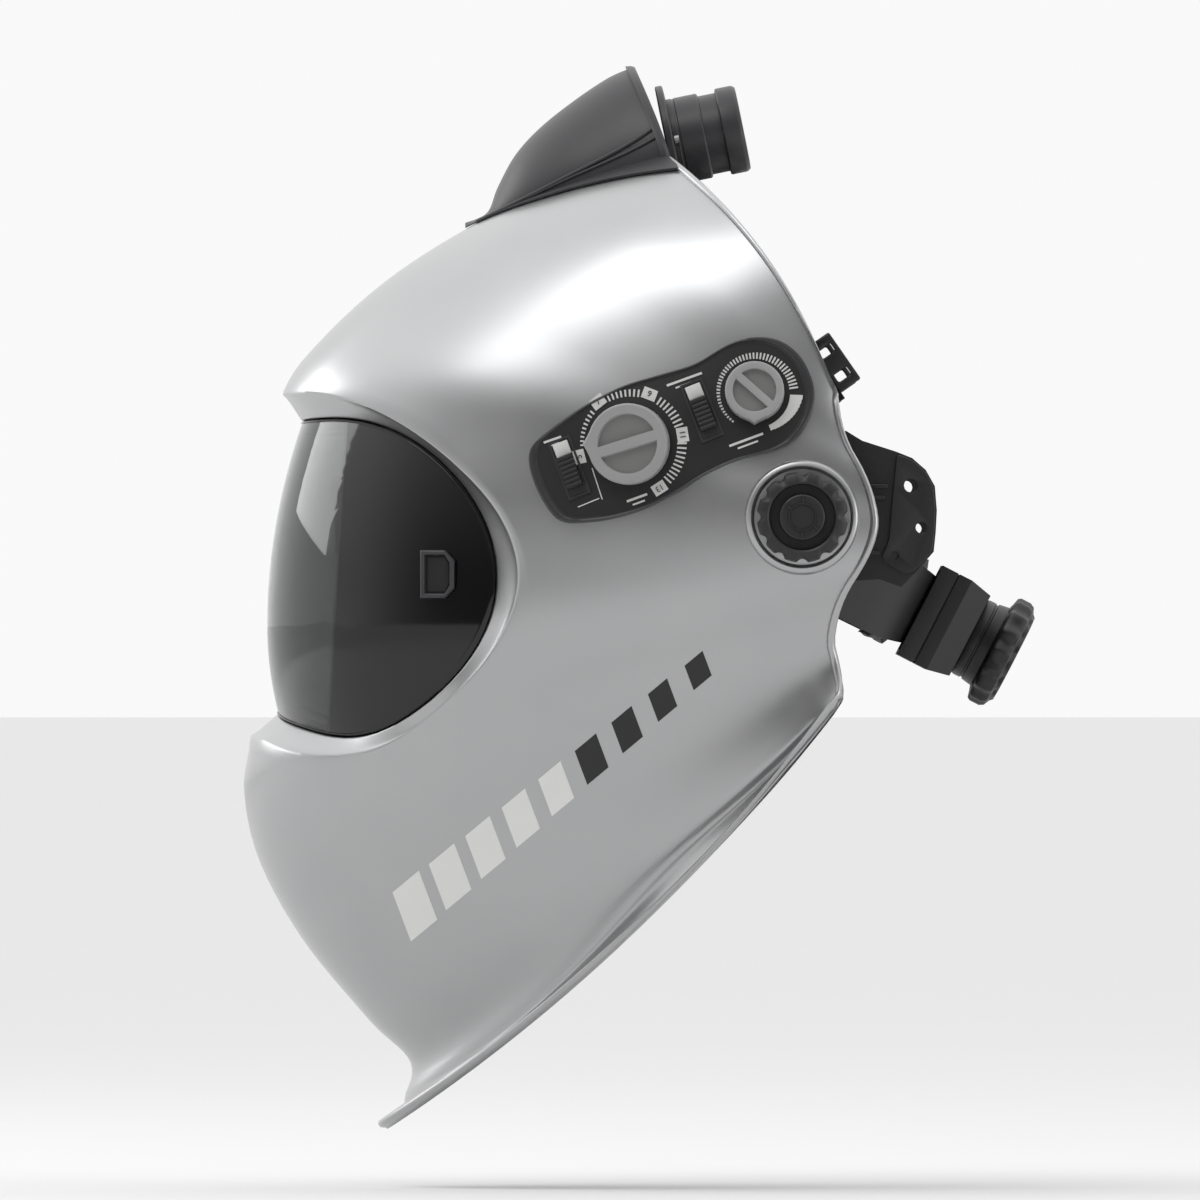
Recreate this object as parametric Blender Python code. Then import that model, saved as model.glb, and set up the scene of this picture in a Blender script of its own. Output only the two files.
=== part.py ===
"""Welding helmet headtop of a powered air respirator: shell, lens, filter cassette, air duct and headgear.

Frame: +Z up, the wearer faces -Y, the wearer's left is +X, the origin is midway between the two pivots.
Tables are in millimetres and MM turns them into metres when a mesh is made.
"""
import math

import bmesh
import bpy
import numpy as np
from mathutils import Matrix, Vector

MM = 0.001
GAP = 0.3
SHELL_WALL = 2.5
LENS_WALL = 2.0
LENS_AXIS_Y = -103.0
LENS_BULGE = 86.2
LENS_WIDEST_Z = -38.0
LENS_MIDDLE = Vector((0.0, -20.0))
CASSETTE_SIZE = (94.0, 8.0, 80.0)
CASSETTE_CENTRE = Vector((0.0, -160.0, -26.0))
VIEW_SIZE = (86.0, 50.0)
RING_CENTRE = Vector((0.0, -45.4, 17.8))
RING_TILT = math.radians(27.3)
RING_HALF_LENGTH = 100.0
RING_HALF_WIDTH = 79.0
RING_SQUARENESS = 2.5
ARM_X = 80.6
ARM_WALL = 2.5
TUBE_START = Vector((0.0, -48.0, 132.9))
TUBE_RISE = math.radians(11.5)
TUBE_RADIUS = 15.25
TUBE_BORE = 12.6
PIVOT_KNOB_RADIUS = 16.0
RATCHET_CENTRE_RISE = -4.6
RATCHET_KNOB_RADIUS = 20.3
PANEL_TILT = math.radians(22.0)
HOOD_CLEARANCE = 1.0

# Shell slices from the crown to the chin: rear edge y, z; centre line y, z; bow; half width; fullness.
SLICES = np.array((
    (11.7, 42.2, -50.8, 130.6, 8.7, 100.0, 2.2),
    (13.5, 33.0, -85.2, 119.3, 5.0, 103.0, 2.2),
    (17.0, 23.8, -117.9, 103.0, 2.5, 105.0, 2.2),
    (21.3, 16.3, -146.6, 84.5, 1.0, 107.0, 2.2),
    (24.5, 8.2, -170.0, 63.2, 0.0, 108.0, 2.3),
    (26.3, -0.4, -183.5, 44.7, 0.0, 108.0, 2.3),
    (25.6, -6.7, -191.0, 13.5, 0.0, 108.0, 2.4),
    (23.4, -12.8, -195.3, -18.5, 0.0, 107.5, 2.4),
    (20.2, -18.8, -196.7, -50.4, 0.0, 106.0, 2.4),
    (16.3, -24.9, -195.3, -78.1, 0.0, 103.0, 2.3),
    (12.8, -33.4, -197.4, -96.6, 0.0, 99.0, 2.2),
    (11.0, -43.3, -192.0, -121.4, 0.0, 96.0, 2.1),
    (12.4, -50.4, -176.4, -149.8, -2.0, 95.0, 1.95),
    (13.5, -56.1, -153.0, -178.2, -5.0, 96.0, 1.85),
    (13.8, -59.6, -137.7, -195.3, -8.0, 97.0, 1.75),
    (13.5, -62.8, -147.7, -216.2, -10.0, 98.0, 1.7),
))
LAST_SLICE = len(SLICES) - 1
BROW_SLICE = 5.0
CHIN_SLICE = 9.0

# Side outlines as y, z from the brow round to the chin.
RECESS_EDGE = (
    (-183.5, 44.7), (-174.0, 45.8), (-161.5, 43.3), (-149.1, 38.5), (-135.8, 30.9), (-121.4, 19.5),
    (-107.2, 4.3), (-99.8, -9.9), (-97.6, -23.4), (-101.5, -36.6), (-109.2, -50.1), (-121.4, -63.2),
    (-135.8, -75.6), (-149.1, -82.7), (-161.5, -85.6), (-174.0, -85.6), (-185.3, -82.7), (-193.8, -77.4),
)
LENS_EDGE = (
    (-176.8, 33.7), (-161.5, 34.8), (-149.1, 32.8), (-135.8, 26.3), (-126.4, 18.5), (-116.8, 7.1),
    (-111.1, -4.3), (-108.3, -15.6), (-108.6, -29.1), (-112.0, -39.4), (-118.6, -50.8), (-128.2, -61.4),
    (-140.6, -70.8), (-149.1, -75.6), (-156.6, -77.4), (-165.3, -77.0), (-175.7, -73.8), (-185.3, -68.9),
)
PANEL_EDGE = (
    (-96.4, 24.0), (-86.4, 32.1), (-77.4, 38.3), (-62.8, 45.8), (-44.7, 51.1), (-36.6, 53.3), (-29.5, 58.2),
    (-23.1, 62.1), (-15.8, 63.5), (-6.7, 62.1), (0.4, 55.7), (5.0, 44.0), (3.2, 34.8), (-2.1, 26.6),
    (-9.6, 22.7), (-23.1, 19.9), (-33.9, 14.9), (-43.0, 8.5), (-55.7, 2.1), (-68.2, -1.4), (-84.5, -2.8),
    (-86.4, -1.4), (-92.7, 8.5), (-95.9, 17.8),
)
SIDE_PLATE_EDGE = (
    (15.6, 30.5), (21.3, 27.0), (33.4, 23.1), (38.9, 20.9), (43.7, 16.7), (46.9, 11.0), (47.6, 2.5),
    (47.2, -5.3), (46.5, -12.1), (40.5, -19.0), (35.1, -24.5), (27.3, -21.8), (15.0, -22.5), (-2.0, -17.0),
    (-12.0, -9.0), (-13.0, 2.0), (-8.0, 16.0), (2.0, 26.0),
)
# Hood stations: slice it stands on, crest y, z and half width.
HOOD_STATIONS = (
    (2.02, -118.5, 104.2, 3.0), (1.85, -110.8, 107.7, 11.0), (1.6, -107.0, 116.8, 19.0),
    (1.3, -100.8, 128.2, 26.0), (0.95, -92.0, 137.9, 31.0), (0.6, -80.0, 147.5, 34.5),
    (0.3, -68.0, 155.5, 37.0), (0.06, -59.6, 159.2, 38.0),
)

MATERIALS = {}


def material(name, grey, roughness, metallic=0.0):
    """One Principled material per finish."""
    if name not in MATERIALS:
        made = bpy.data.materials.new(name)
        made.use_nodes = True
        shader = made.node_tree.nodes["Principled BSDF"]
        shader.inputs["Base Color"].default_value = (grey, grey, grey, 1.0)
        shader.inputs["Roughness"].default_value = roughness
        shader.inputs["Metallic"].default_value = metallic
        MATERIALS[name] = made
    return MATERIALS[name]


def finish(name):
    """The named finishes of the helmet: grey level, roughness and metallic value."""
    values = {
        "silver_paint": (0.52, 0.32, 0.85), "black_plastic": (0.03, 0.5), "hood_plastic": (0.05, 0.42),
        "lens": (0.02, 0.08), "glass": (0.05, 0.05), "panel_plastic": (0.02, 0.45), "knob_grey": (0.3, 0.4),
        "soft_black": (0.02, 0.9), "rubber": (0.02, 0.8), "steel": (0.5, 0.3, 1.0), "cell": (0.03, 0.2),
    }
    return material(name, *values[name])


def put(name, bm, look, origin=None, smooth=30.0):
    """Makes the object from a millimetre bmesh, with its origin at the given point."""
    origin = origin or Vector((0.0, 0.0, 0.0))
    bmesh.ops.translate(bm, verts=bm.verts, vec=-origin)
    bmesh.ops.scale(bm, verts=bm.verts, vec=(MM, MM, MM))
    mesh = bpy.data.meshes.new(name)
    bm.to_mesh(mesh)
    bm.free()
    mesh.shade_smooth()
    mesh.set_sharp_from_angle(angle=math.radians(smooth))
    made = bpy.data.objects.new(name, mesh)
    made.location = origin * MM
    mesh.materials.append(finish(look))
    bpy.context.scene.collection.objects.link(made)
    return made


def loft(rings, loop=False):
    """Joins rings of equal length into one closed body, capped at both ends or looped back on itself."""
    bm = bmesh.new()
    rows = [[bm.verts.new(point) for point in ring] for ring in rings]
    pairs = list(zip(rows, rows[1:]))
    if loop:
        pairs.append((rows[-1], rows[0]))
    for near, far in pairs:
        for k in range(len(near)):
            after = (k + 1) % len(near)
            bm.faces.new((near[k], near[after], far[after], far[k]))
    if not loop:
        bm.faces.new(rows[0])
        bm.faces.new(rows[-1])
    bmesh.ops.recalc_face_normals(bm, faces=bm.faces)
    if bm.calc_volume(signed=True) < 0:
        bmesh.ops.reverse_faces(bm, faces=bm.faces)
    return bm


def frame_along(axis, up=Vector((0.0, 0.0, 1.0))):
    """Two directions across an axis: the first lies nearest to up."""
    first = (up - axis * up.dot(axis)).normalized()
    return first, axis.cross(first)


def turned(profile, centre, axis, sides=24, bored=False, shape=None, up=Vector((0.0, 0.0, 1.0))):
    """A body turned about an axis from (radius, height) pairs; shape scales the radius at each angle."""
    first, second = frame_along(axis, up)
    rings = []
    for radius, height in profile:
        ring = []
        for k in range(sides):
            angle = math.tau * k / sides
            reach = radius * (shape(angle) if shape else 1.0)
            spoke = first * math.cos(angle) + second * math.sin(angle)
            ring.append(centre + axis * height + spoke * reach)
        rings.append(ring)
    return loft(rings, loop=bored)


def block(centre, size, axes=None):
    """A box with its middle at centre; axes turns it."""
    bm = bmesh.new()
    bmesh.ops.create_cube(bm, size=1.0)
    bmesh.ops.scale(bm, verts=bm.verts, vec=size)
    if axes:
        turn = Matrix(axes).transposed()
        bmesh.ops.rotate(bm, verts=bm.verts, cent=(0.0, 0.0, 0.0), matrix=turn)
    bmesh.ops.translate(bm, verts=bm.verts, vec=centre)
    return bm


def prism(outline, low, high):
    """A side outline of y, z points extruded between two x values."""
    return loft([[Vector((x, y, z)) for y, z in outline] for x in (low, high)])


def band(path, across, outward, width, wall):
    """A flat strip swept along a path; across and outward give its width and wall directions."""
    rings = []
    for point, wide, out in zip(path, across, outward):
        half = wide * (width / 2)
        rings.append([point - half, point + half, point + half + out * wall, point - half + out * wall])
    return loft(rings)


def cut(target, bm, name):
    """Takes a hidden cutter out of a body."""
    cutter = put(name, bm, "steel")
    cutter.hide_render = True
    cutter.display_type = "WIRE"
    trim = target.modifiers.new(name, "BOOLEAN")
    trim.operation = "DIFFERENCE"
    trim.solver = "EXACT"
    trim.object = cutter


def mirrored(points):
    return [Vector((-p.x, p.y, p.z)) for p in points]


def resample(points, count):
    """Evenly spaced points along an open outline."""
    pts = np.array([tuple(p) for p in points])
    steps = np.linalg.norm(np.diff(pts, axis=0), axis=1)
    run = np.concatenate(([0.0], np.cumsum(steps)))
    where = np.linspace(0.0, run[-1], count)
    return np.stack([np.interp(where, run, pts[:, k]) for k in range(pts.shape[1])], axis=1)


# ---------------------------------------------------------------- shell surface

def slice_at(u):
    """The slice table read at a fractional slice number on a Catmull-Rom curve."""
    u = min(max(u, 0.0), float(LAST_SLICE))
    base = min(int(u), LAST_SLICE - 1)
    t = u - base
    p0, p1 = SLICES[max(base - 1, 0)], SLICES[base]
    p2, p3 = SLICES[base + 1], SLICES[min(base + 2, LAST_SLICE)]
    return p1 + 0.5 * t * (p2 - p0 + t * (2 * p0 - 5 * p1 + 4 * p2 - p3 + t * (3 * (p1 - p2) + p3 - p0)))


def surface(u, v):
    """The shell's outer surface: v runs from 0 at the rear edge to 1 on the centre line."""
    ey, ez, py, pz, bow, width, full = slice_at(u)
    v = min(max(v, 0.0), 1.0)
    c = math.sin(v * math.pi / 2)
    dy, dz = py - ey, pz - ez
    lift = bow * 4 * c * (1 - c) / math.hypot(dy, dz)
    x = width * max(1 - c ** full, 0.0) ** (1 / full)
    return Vector((x, ey + dy * c + dz * lift, ez + dz * c - dy * lift))


def surface_normal(u, v):
    """The outward normal, from small steps on the surface."""
    v = min(v, 0.995)
    along = surface(u + 0.02, v) - surface(u - 0.02, v)
    over = surface(u, v + 0.004) - surface(u, v - 0.004)
    normal = along.cross(over).normalized()
    return normal if normal.x > 0 else -normal


def crown_v(u, x):
    """Where a slice reaches x on its way to the centre line."""
    width, full = slice_at(u)[5:7]
    reach = max(1 - (abs(x) / width) ** full, 0.0) ** (1 / full)
    return math.asin(min(reach, 1.0)) / (math.pi / 2)


GRID_U = np.linspace(0.0, LAST_SLICE, 121)
GRID_V = np.linspace(0.0, 0.98, 80)
GRID = np.array([[tuple(surface(u, v)) for v in GRID_V] for u in GRID_U])


def locate(target, picks):
    """Surface coordinates whose picked components (such as y and z) meet the target."""
    goal = np.array(target)
    off = np.sum((GRID[:, :, picks] - goal) ** 2, axis=2)
    i, j = np.unravel_index(np.argmin(off), off.shape)
    u, v = float(GRID_U[i]), float(GRID_V[j])
    for _ in range(8):
        here = np.array(surface(u, v))[picks]
        du = (np.array(surface(u + 0.01, v))[picks] - here) / 0.01
        dv = (np.array(surface(u, v + 0.002))[picks] - here) / 0.002
        move, *_ = np.linalg.lstsq(np.stack((du, dv), axis=1), goal - here, rcond=None)
        u = min(max(u + float(move[0]), 0.0), float(LAST_SLICE))
        v = min(max(v + float(move[1]), 0.0), 0.997)
    return u, v


def side_point(y, z, off=0.0):
    """A point on the wearer's left of the shell seen at y, z, moved out by off."""
    u, v = locate((y, z), [1, 2])
    return surface(u, v) + surface_normal(u, v) * off


# ---------------------------------------------------------------- lens surface

def lens_radius(z):
    fall = 0.00241 if z > LENS_WIDEST_Z else 0.0041
    return LENS_BULGE - fall * (z - LENS_WIDEST_Z) ** 2


def lens_flat():
    """The lens edge unrolled: arc length round the axis and height."""
    flat = []
    for y, z in LENS_EDGE:
        turn = math.acos(min((LENS_AXIS_Y - y) / lens_radius(z), 1.0))
        flat.append((turn * LENS_BULGE, z))
    flat[0] = (0.0, LENS_EDGE[0][1])
    flat[-1] = (0.0, LENS_EDGE[-1][1])
    return flat


def lens_point(arc, z, scale, off):
    """A point of the unrolled lens scaled about its middle and moved off its outer face."""
    arc *= scale
    z = LENS_MIDDLE.y + (z - LENS_MIDDLE.y) * scale
    reach = lens_radius(z) + off
    turn = arc / LENS_BULGE
    return Vector((reach * math.sin(turn), LENS_AXIS_Y - reach * math.cos(turn), z))


def round_the_lens(count, scale, off):
    """A closed ring of points parallel to the lens edge."""
    half = [lens_point(arc, z, scale, off) for arc, z in resample(lens_flat(), count)]
    return half + mirrored(half[-2:0:-1])


# ---------------------------------------------------------------- shell and visor

ARCH_COLUMNS = 10
REAR_COLUMNS = 8
LOWER_COLUMNS = 18
HALF_COLUMNS = ARCH_COLUMNS + REAR_COLUMNS + LOWER_COLUMNS + 1
SHELL_ROWS = 9
LENS_RINGS = (0.08, 0.3, 0.52, 0.72, 0.86, 0.93, 0.985, 1.0)


def rim_coordinates():
    """Surface coordinates round the rim: crown arch, rear edge, then lower edge to the chin."""
    arch = [(0.0, 1.0 - k / ARCH_COLUMNS) for k in range(ARCH_COLUMNS)]
    rear = [(LAST_SLICE * k / REAR_COLUMNS, 0.0) for k in range(REAR_COLUMNS)]
    lower = [(float(LAST_SLICE), k / LOWER_COLUMNS) for k in range(LOWER_COLUMNS + 1)]
    return arch + rear + lower


def recess_coordinates():
    """Surface coordinates of the visor recess, evenly spaced from brow to chin."""
    places = [locate(point, [1, 2]) for point in RECESS_EDGE]
    places[0] = (BROW_SLICE, 1.0)
    places[-1] = (CHIN_SLICE, 1.0)
    solid = [tuple(surface(u, v)) + (u, v) for u, v in places]
    pts = np.array(solid)
    steps = np.linalg.norm(np.diff(pts[:, :3], axis=0), axis=1)
    run = np.concatenate(([0.0], np.cumsum(steps)))
    where = np.linspace(0.0, run[-1], HALF_COLUMNS)
    return [(float(np.interp(s, run, pts[:, 3])), float(np.interp(s, run, pts[:, 4]))) for s in where]


def shell_sheet():
    """Rings of the outer skin from the rim to the visor recess, then down its wall to the lens seat."""
    rim, recess = rim_coordinates(), recess_coordinates()
    rings = []
    for row in range(SHELL_ROWS + 1):
        t = row / SHELL_ROWS
        half = [surface(a[0] + (b[0] - a[0]) * t, a[1] + (b[1] - a[1]) * t) for a, b in zip(rim, recess)]
        rings.append(half + mirrored(half[-2:0:-1]))
    edge = rings[-1]
    seat_top = round_the_lens(HALF_COLUMNS, 1.02, 0.6)
    rings.append([a.lerp(b, 0.5) for a, b in zip(edge, seat_top)])
    rings.append(seat_top)
    rings.append(round_the_lens(HALF_COLUMNS, 1.015, -3.6))
    rings.append(round_the_lens(HALF_COLUMNS, 0.92, -3.6))
    return rings


def build_shell():
    bm = bmesh.new()
    rows = [[bm.verts.new(point) for point in ring] for ring in shell_sheet()]
    for near, far in zip(rows, rows[1:]):
        for k in range(len(near)):
            after = (k + 1) % len(near)
            bm.faces.new((near[k], far[k], far[after], near[after]))
    bm.normal_update()
    shell = put("helmet_shell", bm, "silver_paint", smooth=40.0)
    wall = shell.modifiers.new("wall", "SOLIDIFY")
    wall.thickness = SHELL_WALL * MM
    wall.offset = -1.0
    wall.use_even_offset = False
    for side in (-1.0, 1.0):
        middle = Vector((side * 106.0, 0.0, 0.0))
        hole = turned([(4.6, -14.0), (4.6, 14.0)], middle, Vector((side, 0.0, 0.0)), 16)
        cut(shell, hole, f"stud_hole_{side:+.0f}")
    return shell


def patch_rings(count, outer, inner, scales):
    """Rings of a curved plate: outer skin from the middle to the edge, then the inner skin back."""
    front = [round_the_lens(count, scale, outer) for scale in scales]
    back = [round_the_lens(count, scale, inner) for scale in reversed(scales)]
    return front + back


def build_visor():
    put("front_cover_lens", loft(patch_rings(HALF_COLUMNS, 0.0, -LENS_WALL, LENS_RINGS)), "lens")
    section = ((0.985, -2.3), (0.985, -3.3), (0.93, -3.3), (0.93, -2.3))
    seal = [round_the_lens(HALF_COLUMNS, scale, off) for scale, off in section]
    put("lens_gasket", loft(seal, loop=True), "rubber")
    for name, side in (("left", 1.0), ("right", -1.0)):
        arc = math.acos((LENS_AXIS_Y + 127.2) / LENS_BULGE)
        middle = lens_point(arc * LENS_BULGE, -20.0, 1.0, 0.0)
        out = Vector((middle.x, middle.y - LENS_AXIS_Y, 0.0)).normalized()
        along = Vector((0.0, 0.0, 1.0)).cross(out)
        corners = ((-7.0, -8.5), (-7.0, 8.5), (2.5, 8.5), (5.5, 5.0), (5.5, -5.0), (2.5, -8.5))
        low, high = 1.0, 3.0
        face = [middle + along * a + Vector((0.0, 0.0, b)) for a, b in corners]
        rings = [[point + out * height for point in face] for height in (low, high)]
        if side < 0:
            rings = [mirrored(ring) for ring in rings]
            middle = Vector((-middle.x, middle.y, middle.z))
        put(f"lens_clip_{name}", loft(rings), "black_plastic", origin=middle)


def window(y, width, height, count, corner=6.0):
    """A ring of points round a rectangle facing forward, matched to the rings round the lens."""
    half = []
    for k in range(count):
        angle = math.pi * k / (count - 1)
        x, z = math.sin(angle), math.cos(angle)
        reach = min((width / 2) / max(abs(x), 1e-6), (height / 2) / max(abs(z), 1e-6))
        reach = min(reach, math.hypot(width / 2, height / 2) - corner * 0.6)
        half.append(Vector((x * reach, y, CASSETTE_CENTRE.z + z * reach)))
    half[0].x = 0.0
    half[-1].x = 0.0
    return half + mirrored(half[-2:0:-1])


def build_cassette():
    width, depth, height = CASSETTE_SIZE
    front_y = CASSETTE_CENTRE.y - depth / 2
    back_y = front_y + depth + 1.4
    holder = [
        window(front_y + 4.4, width + 5.5, height + 6.6, 24), window(back_y, width + 5.5, height + 6.6, 24),
        window(back_y, width + 1.2, height + 1.2, 24), window(front_y + 4.4, width + 1.2, height + 1.2, 24),
    ]
    put("cassette_holder", loft(holder, loop=True), "black_plastic")
    frame = put("cassette_frame", loft([window(y, width, height, 24) for y in (front_y, front_y + depth)]),
                "black_plastic")
    cut(frame, block(CASSETTE_CENTRE, (VIEW_SIZE[0], depth * 2, VIEW_SIZE[1])), "view_opening")
    opening = (VIEW_SIZE[0] - 2 * GAP, VIEW_SIZE[1] - 2 * GAP)
    put("filter_glass", block(CASSETTE_CENTRE, (opening[0], 4.0, opening[1])), "glass")
    back = CASSETTE_CENTRE + Vector((0.0, depth / 2 + 0.9, 0.0))
    put("inner_cover_lens", block(back, (VIEW_SIZE[0] + 4, 1.0, VIEW_SIZE[1] + 6)), "glass")
    front = CASSETTE_CENTRE - Vector((0.0, depth / 2 + 0.9, 0.0))
    put("solar_cell", block(front + Vector((0.0, 0.0, 34.0)), (60.0, 1.0, 9.0)), "cell")
    for name, x in (("left", 40.0), ("right", -40.0)):
        eye = front + Vector((x, 0.0, 34.0))
        put(f"arc_sensor_{name}", turned([(4.0, -0.5), (4.0, 0.5)], eye, Vector((0, 1, 0)), 16), "cell")
        tray = CASSETTE_CENTRE + Vector((x * 0.7, depth / 2 + 1.7, -35.0))
        put(f"battery_drawer_{name}", block(tray, (22.0, 2.6, 10.0)), "black_plastic", origin=tray)


# ---------------------------------------------------------------- control panel

def panel_ring(scale, off, count=32):
    """Points of the shell inside the panel outline, scaled about the panel's middle and lifted."""
    outline = resample(PANEL_EDGE + (PANEL_EDGE[0],), count + 1)[:-1]
    middle = outline.mean(axis=0)
    return [side_point(*(middle + (point - middle) * scale), off) for point in outline]


def panel_slab(scales, top, bottom):
    front = [panel_ring(scale, top) for scale in scales]
    back = [panel_ring(scale, bottom) for scale in reversed(scales)]
    return loft(front + back)


CONTROLS = {
    "shade_knob": (-59.8, 25.4, 14.5, 7.0), "sensitivity_knob": (-16.5, 43.0, 10.6, 6.4),
}
SWITCHES = {"mode_switch": (-80.6, 15.4), "range_switch": (-34.3, 35.4)}


def build_panel():
    put("control_panel", panel_slab((0.35, 0.7, 1.0), 3.2, GAP + 0.1), "panel_plastic", smooth=50.0)
    put("control_module", panel_slab((0.3, 0.62), -SHELL_WALL - 1.0, -SHELL_WALL - 8.5), "black_plastic")
    for name, (y, z, radius, height) in CONTROLS.items():
        base = side_point(y, z, 3.2)
        axis = (side_point(y, z, 4.2) - side_point(y, z, 3.2)).normalized()
        profile = [(radius, 0.9), (radius, height - 1.2), (radius - 1.2, height)]
        put(name, turned(profile, base, axis, 24), "knob_grey", origin=base)
    for name, (y, z) in SWITCHES.items():
        base = side_point(y, z, 3.2)
        axis = (side_point(y, z, 4.2) - side_point(y, z, 3.2)).normalized()
        lengthwise = Vector((0.0, math.sin(PANEL_TILT), -math.cos(PANEL_TILT)))
        lengthwise = (lengthwise - axis * lengthwise.dot(axis)).normalized()
        sideways = lengthwise.cross(axis)
        slider = block(base + axis * 2.3, (6.2, 12.0, 2.4), (sideways, lengthwise, axis))
        put(name, slider, "black_plastic", origin=base)


# ---------------------------------------------------------------- air duct

def hood_ring(station, inset=0.0, drop=0.0):
    """An arch from one side of the crown over the crest to the other, closed along the shell."""
    u, crest_y, crest_z, half_width = station
    half_width -= inset
    arch, base = [], []
    crest = Vector((0.0, crest_y, crest_z))
    ground = surface(u, 1.0)
    lift = crest - ground
    lift = lift.normalized() * max(lift.length - inset, 1.0)
    for k in range(13):
        x = -half_width + 2 * half_width * k / 12
        v = crown_v(u, x)
        foot = surface(u, v)
        normal = surface_normal(u, v)
        normal.x = math.copysign(normal.x, x)
        foot = Vector((x, foot.y, foot.z)) + normal * HOOD_CLEARANCE
        rise = max(1 - (x / half_width) ** 2, 0.0) ** 0.6
        arch.append(foot + lift * rise + Vector((0.0, 0.0, 0.4)))
        base.append(foot - Vector((0.0, 0.0, drop)))
    return arch + base[-2:0:-1]


def build_hood():
    hood = put("duct_hood", loft([hood_ring(s) for s in HOOD_STATIONS]), "hood_plastic", smooth=50.0)
    hollow = [hood_ring(s, inset=3.0, drop=9.0) for s in HOOD_STATIONS[2:-1]]
    cut(hood, loft(hollow), "hood_hollow")
    axis = Vector((0.0, math.cos(TUBE_RISE), math.sin(TUBE_RISE)))
    bore = turned([(9.0, -16.0), (9.0, 2.0)], TUBE_START + Vector((0.0, 0.0, 13.0)), axis, 20)
    cut(hood, bore, "air_way")


def build_inlet():
    axis = Vector((0.0, math.cos(TUBE_RISE), math.sin(TUBE_RISE)))
    tube = [
        (TUBE_RADIUS, GAP), (TUBE_RADIUS, 14.4), (14.15, 14.4), (14.15, 21.0), (15.55, 21.0), (15.55, 27.2),
        (14.6, 28.3), (TUBE_BORE, 28.3), (TUBE_BORE, GAP),
    ]
    put("inlet_tube", turned(tube, TUBE_START, axis, 28, bored=True), "hood_plastic", origin=TUBE_START)
    flange = [(20.5, GAP), (20.5, 3.3), (TUBE_RADIUS + GAP, 3.3), (TUBE_RADIUS + GAP, GAP)]
    put("inlet_flange", turned(flange, TUBE_START, axis, 28, bored=True), "hood_plastic")
    for name, side in (("left", 1.0), ("right", -1.0)):
        head = TUBE_START + Vector((side * 18.0, 0.0, 0.0)) + axis * 3.6
        put(f"flange_screw_{name}", turned([(1.9, 0.0), (1.9, 1.6)], head, axis, 12), "steel")


def duct_ring(u, half_width, off, depth):
    """A flat slot cross-section hugging the inside of the crown."""
    upper, lower = [], []
    for k in range(7):
        x = -half_width + 2 * half_width * k / 6
        v = crown_v(u, x)
        foot = surface(u, v)
        inward = -surface_normal(u, v)
        if x < 0:
            inward.x = -inward.x
        foot.x = x
        upper.append(foot + inward * off)
        lower.append(foot + inward * (off + depth))
    return upper + lower[::-1]


def build_inner_duct():
    stations = (0.12, 0.8, 1.6, 2.3, 3.0, 3.6)
    rings = [duct_ring(u, 30.0, SHELL_WALL + 0.8, 12.0 - u) for u in stations]
    duct = put("inner_duct", loft(rings), "black_plastic", smooth=50.0)
    stretched = [duct_ring(u, 28.5, SHELL_WALL + 2.3, 9.0 - u) for u in (0.0, 0.8, 1.6, 2.3, 3.0, 3.9)]
    cut(duct, loft(stretched), "duct_bore")


# ---------------------------------------------------------------- headgear

def ring_point(turn, off=0.0, rise=0.0):
    """A point of the head ring; turn is 0 at the forehead and grows towards the wearer's left."""
    power = 2.0 / RING_SQUARENESS
    fore = math.copysign(abs(math.cos(turn)) ** power, math.cos(turn)) * (RING_HALF_LENGTH + off)
    side = math.copysign(abs(math.sin(turn)) ** power, math.sin(turn)) * (RING_HALF_WIDTH + off)
    ahead = Vector((0.0, -math.cos(RING_TILT), math.sin(RING_TILT)))
    up = Vector((0.0, math.sin(RING_TILT), math.cos(RING_TILT)))
    return RING_CENTRE + ahead * fore + Vector((side, 0.0, 0.0)) + up * rise


def ring_band(name, start, stop, count, off, wall, width, look, rise=0.0):
    """A strip of the head ring between two turns given in degrees."""
    up = Vector((0.0, math.sin(RING_TILT), math.cos(RING_TILT)))
    turns = [math.radians(start + (stop - start) * k / (count - 1)) for k in range(count)]
    path = [ring_point(turn, off, rise) for turn in turns]
    outward = []
    for k in range(count):
        ahead = path[min(k + 1, count - 1)] - path[max(k - 1, 0)]
        outward.append(ahead.cross(up).normalized())
    if outward[count // 2].dot(path[count // 2] - RING_CENTRE) < 0:
        outward = [-out for out in outward]
    return put(name, band(path, [up] * count, outward, width, wall), look)


def build_head_ring():
    ring_band("headband_front", -122, 122, 33, 2.0, 1.6, 24.0, "black_plastic")
    ring_band("sweatband", -72, 72, 21, -3.4, 5.0, 30.0, "soft_black")
    for name, side in (("left", 1.0), ("right", -1.0)):
        ring_band(f"rear_band_{name}", side * 118, side * 150, 9, 4.4, 1.8, 26.0, "black_plastic", rise=-7.0)
        ring_band(f"rack_{name}", side * 134, side * 186, 13, 1.6, 1.2, 9.0, "black_plastic",
                  rise=RATCHET_CENTRE_RISE + side * 7.0)
        plate = put(f"side_plate_{name}", prism(SIDE_PLATE_EDGE, side * ARM_X, side * (ARM_X + ARM_WALL)),
                    "black_plastic")
        for k, (y, z, radius) in enumerate(((38.4, 11.2, 2.4), (42.1, -3.6, 2.0))):
            hole = [(radius, -6.0), (radius, 6.0)]
            cut(plate, turned(hole, Vector((side * ARM_X, y, z)), Vector((1.0, 0.0, 0.0)), 12),
                f"strap_hole_{name}_{k}")


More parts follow.
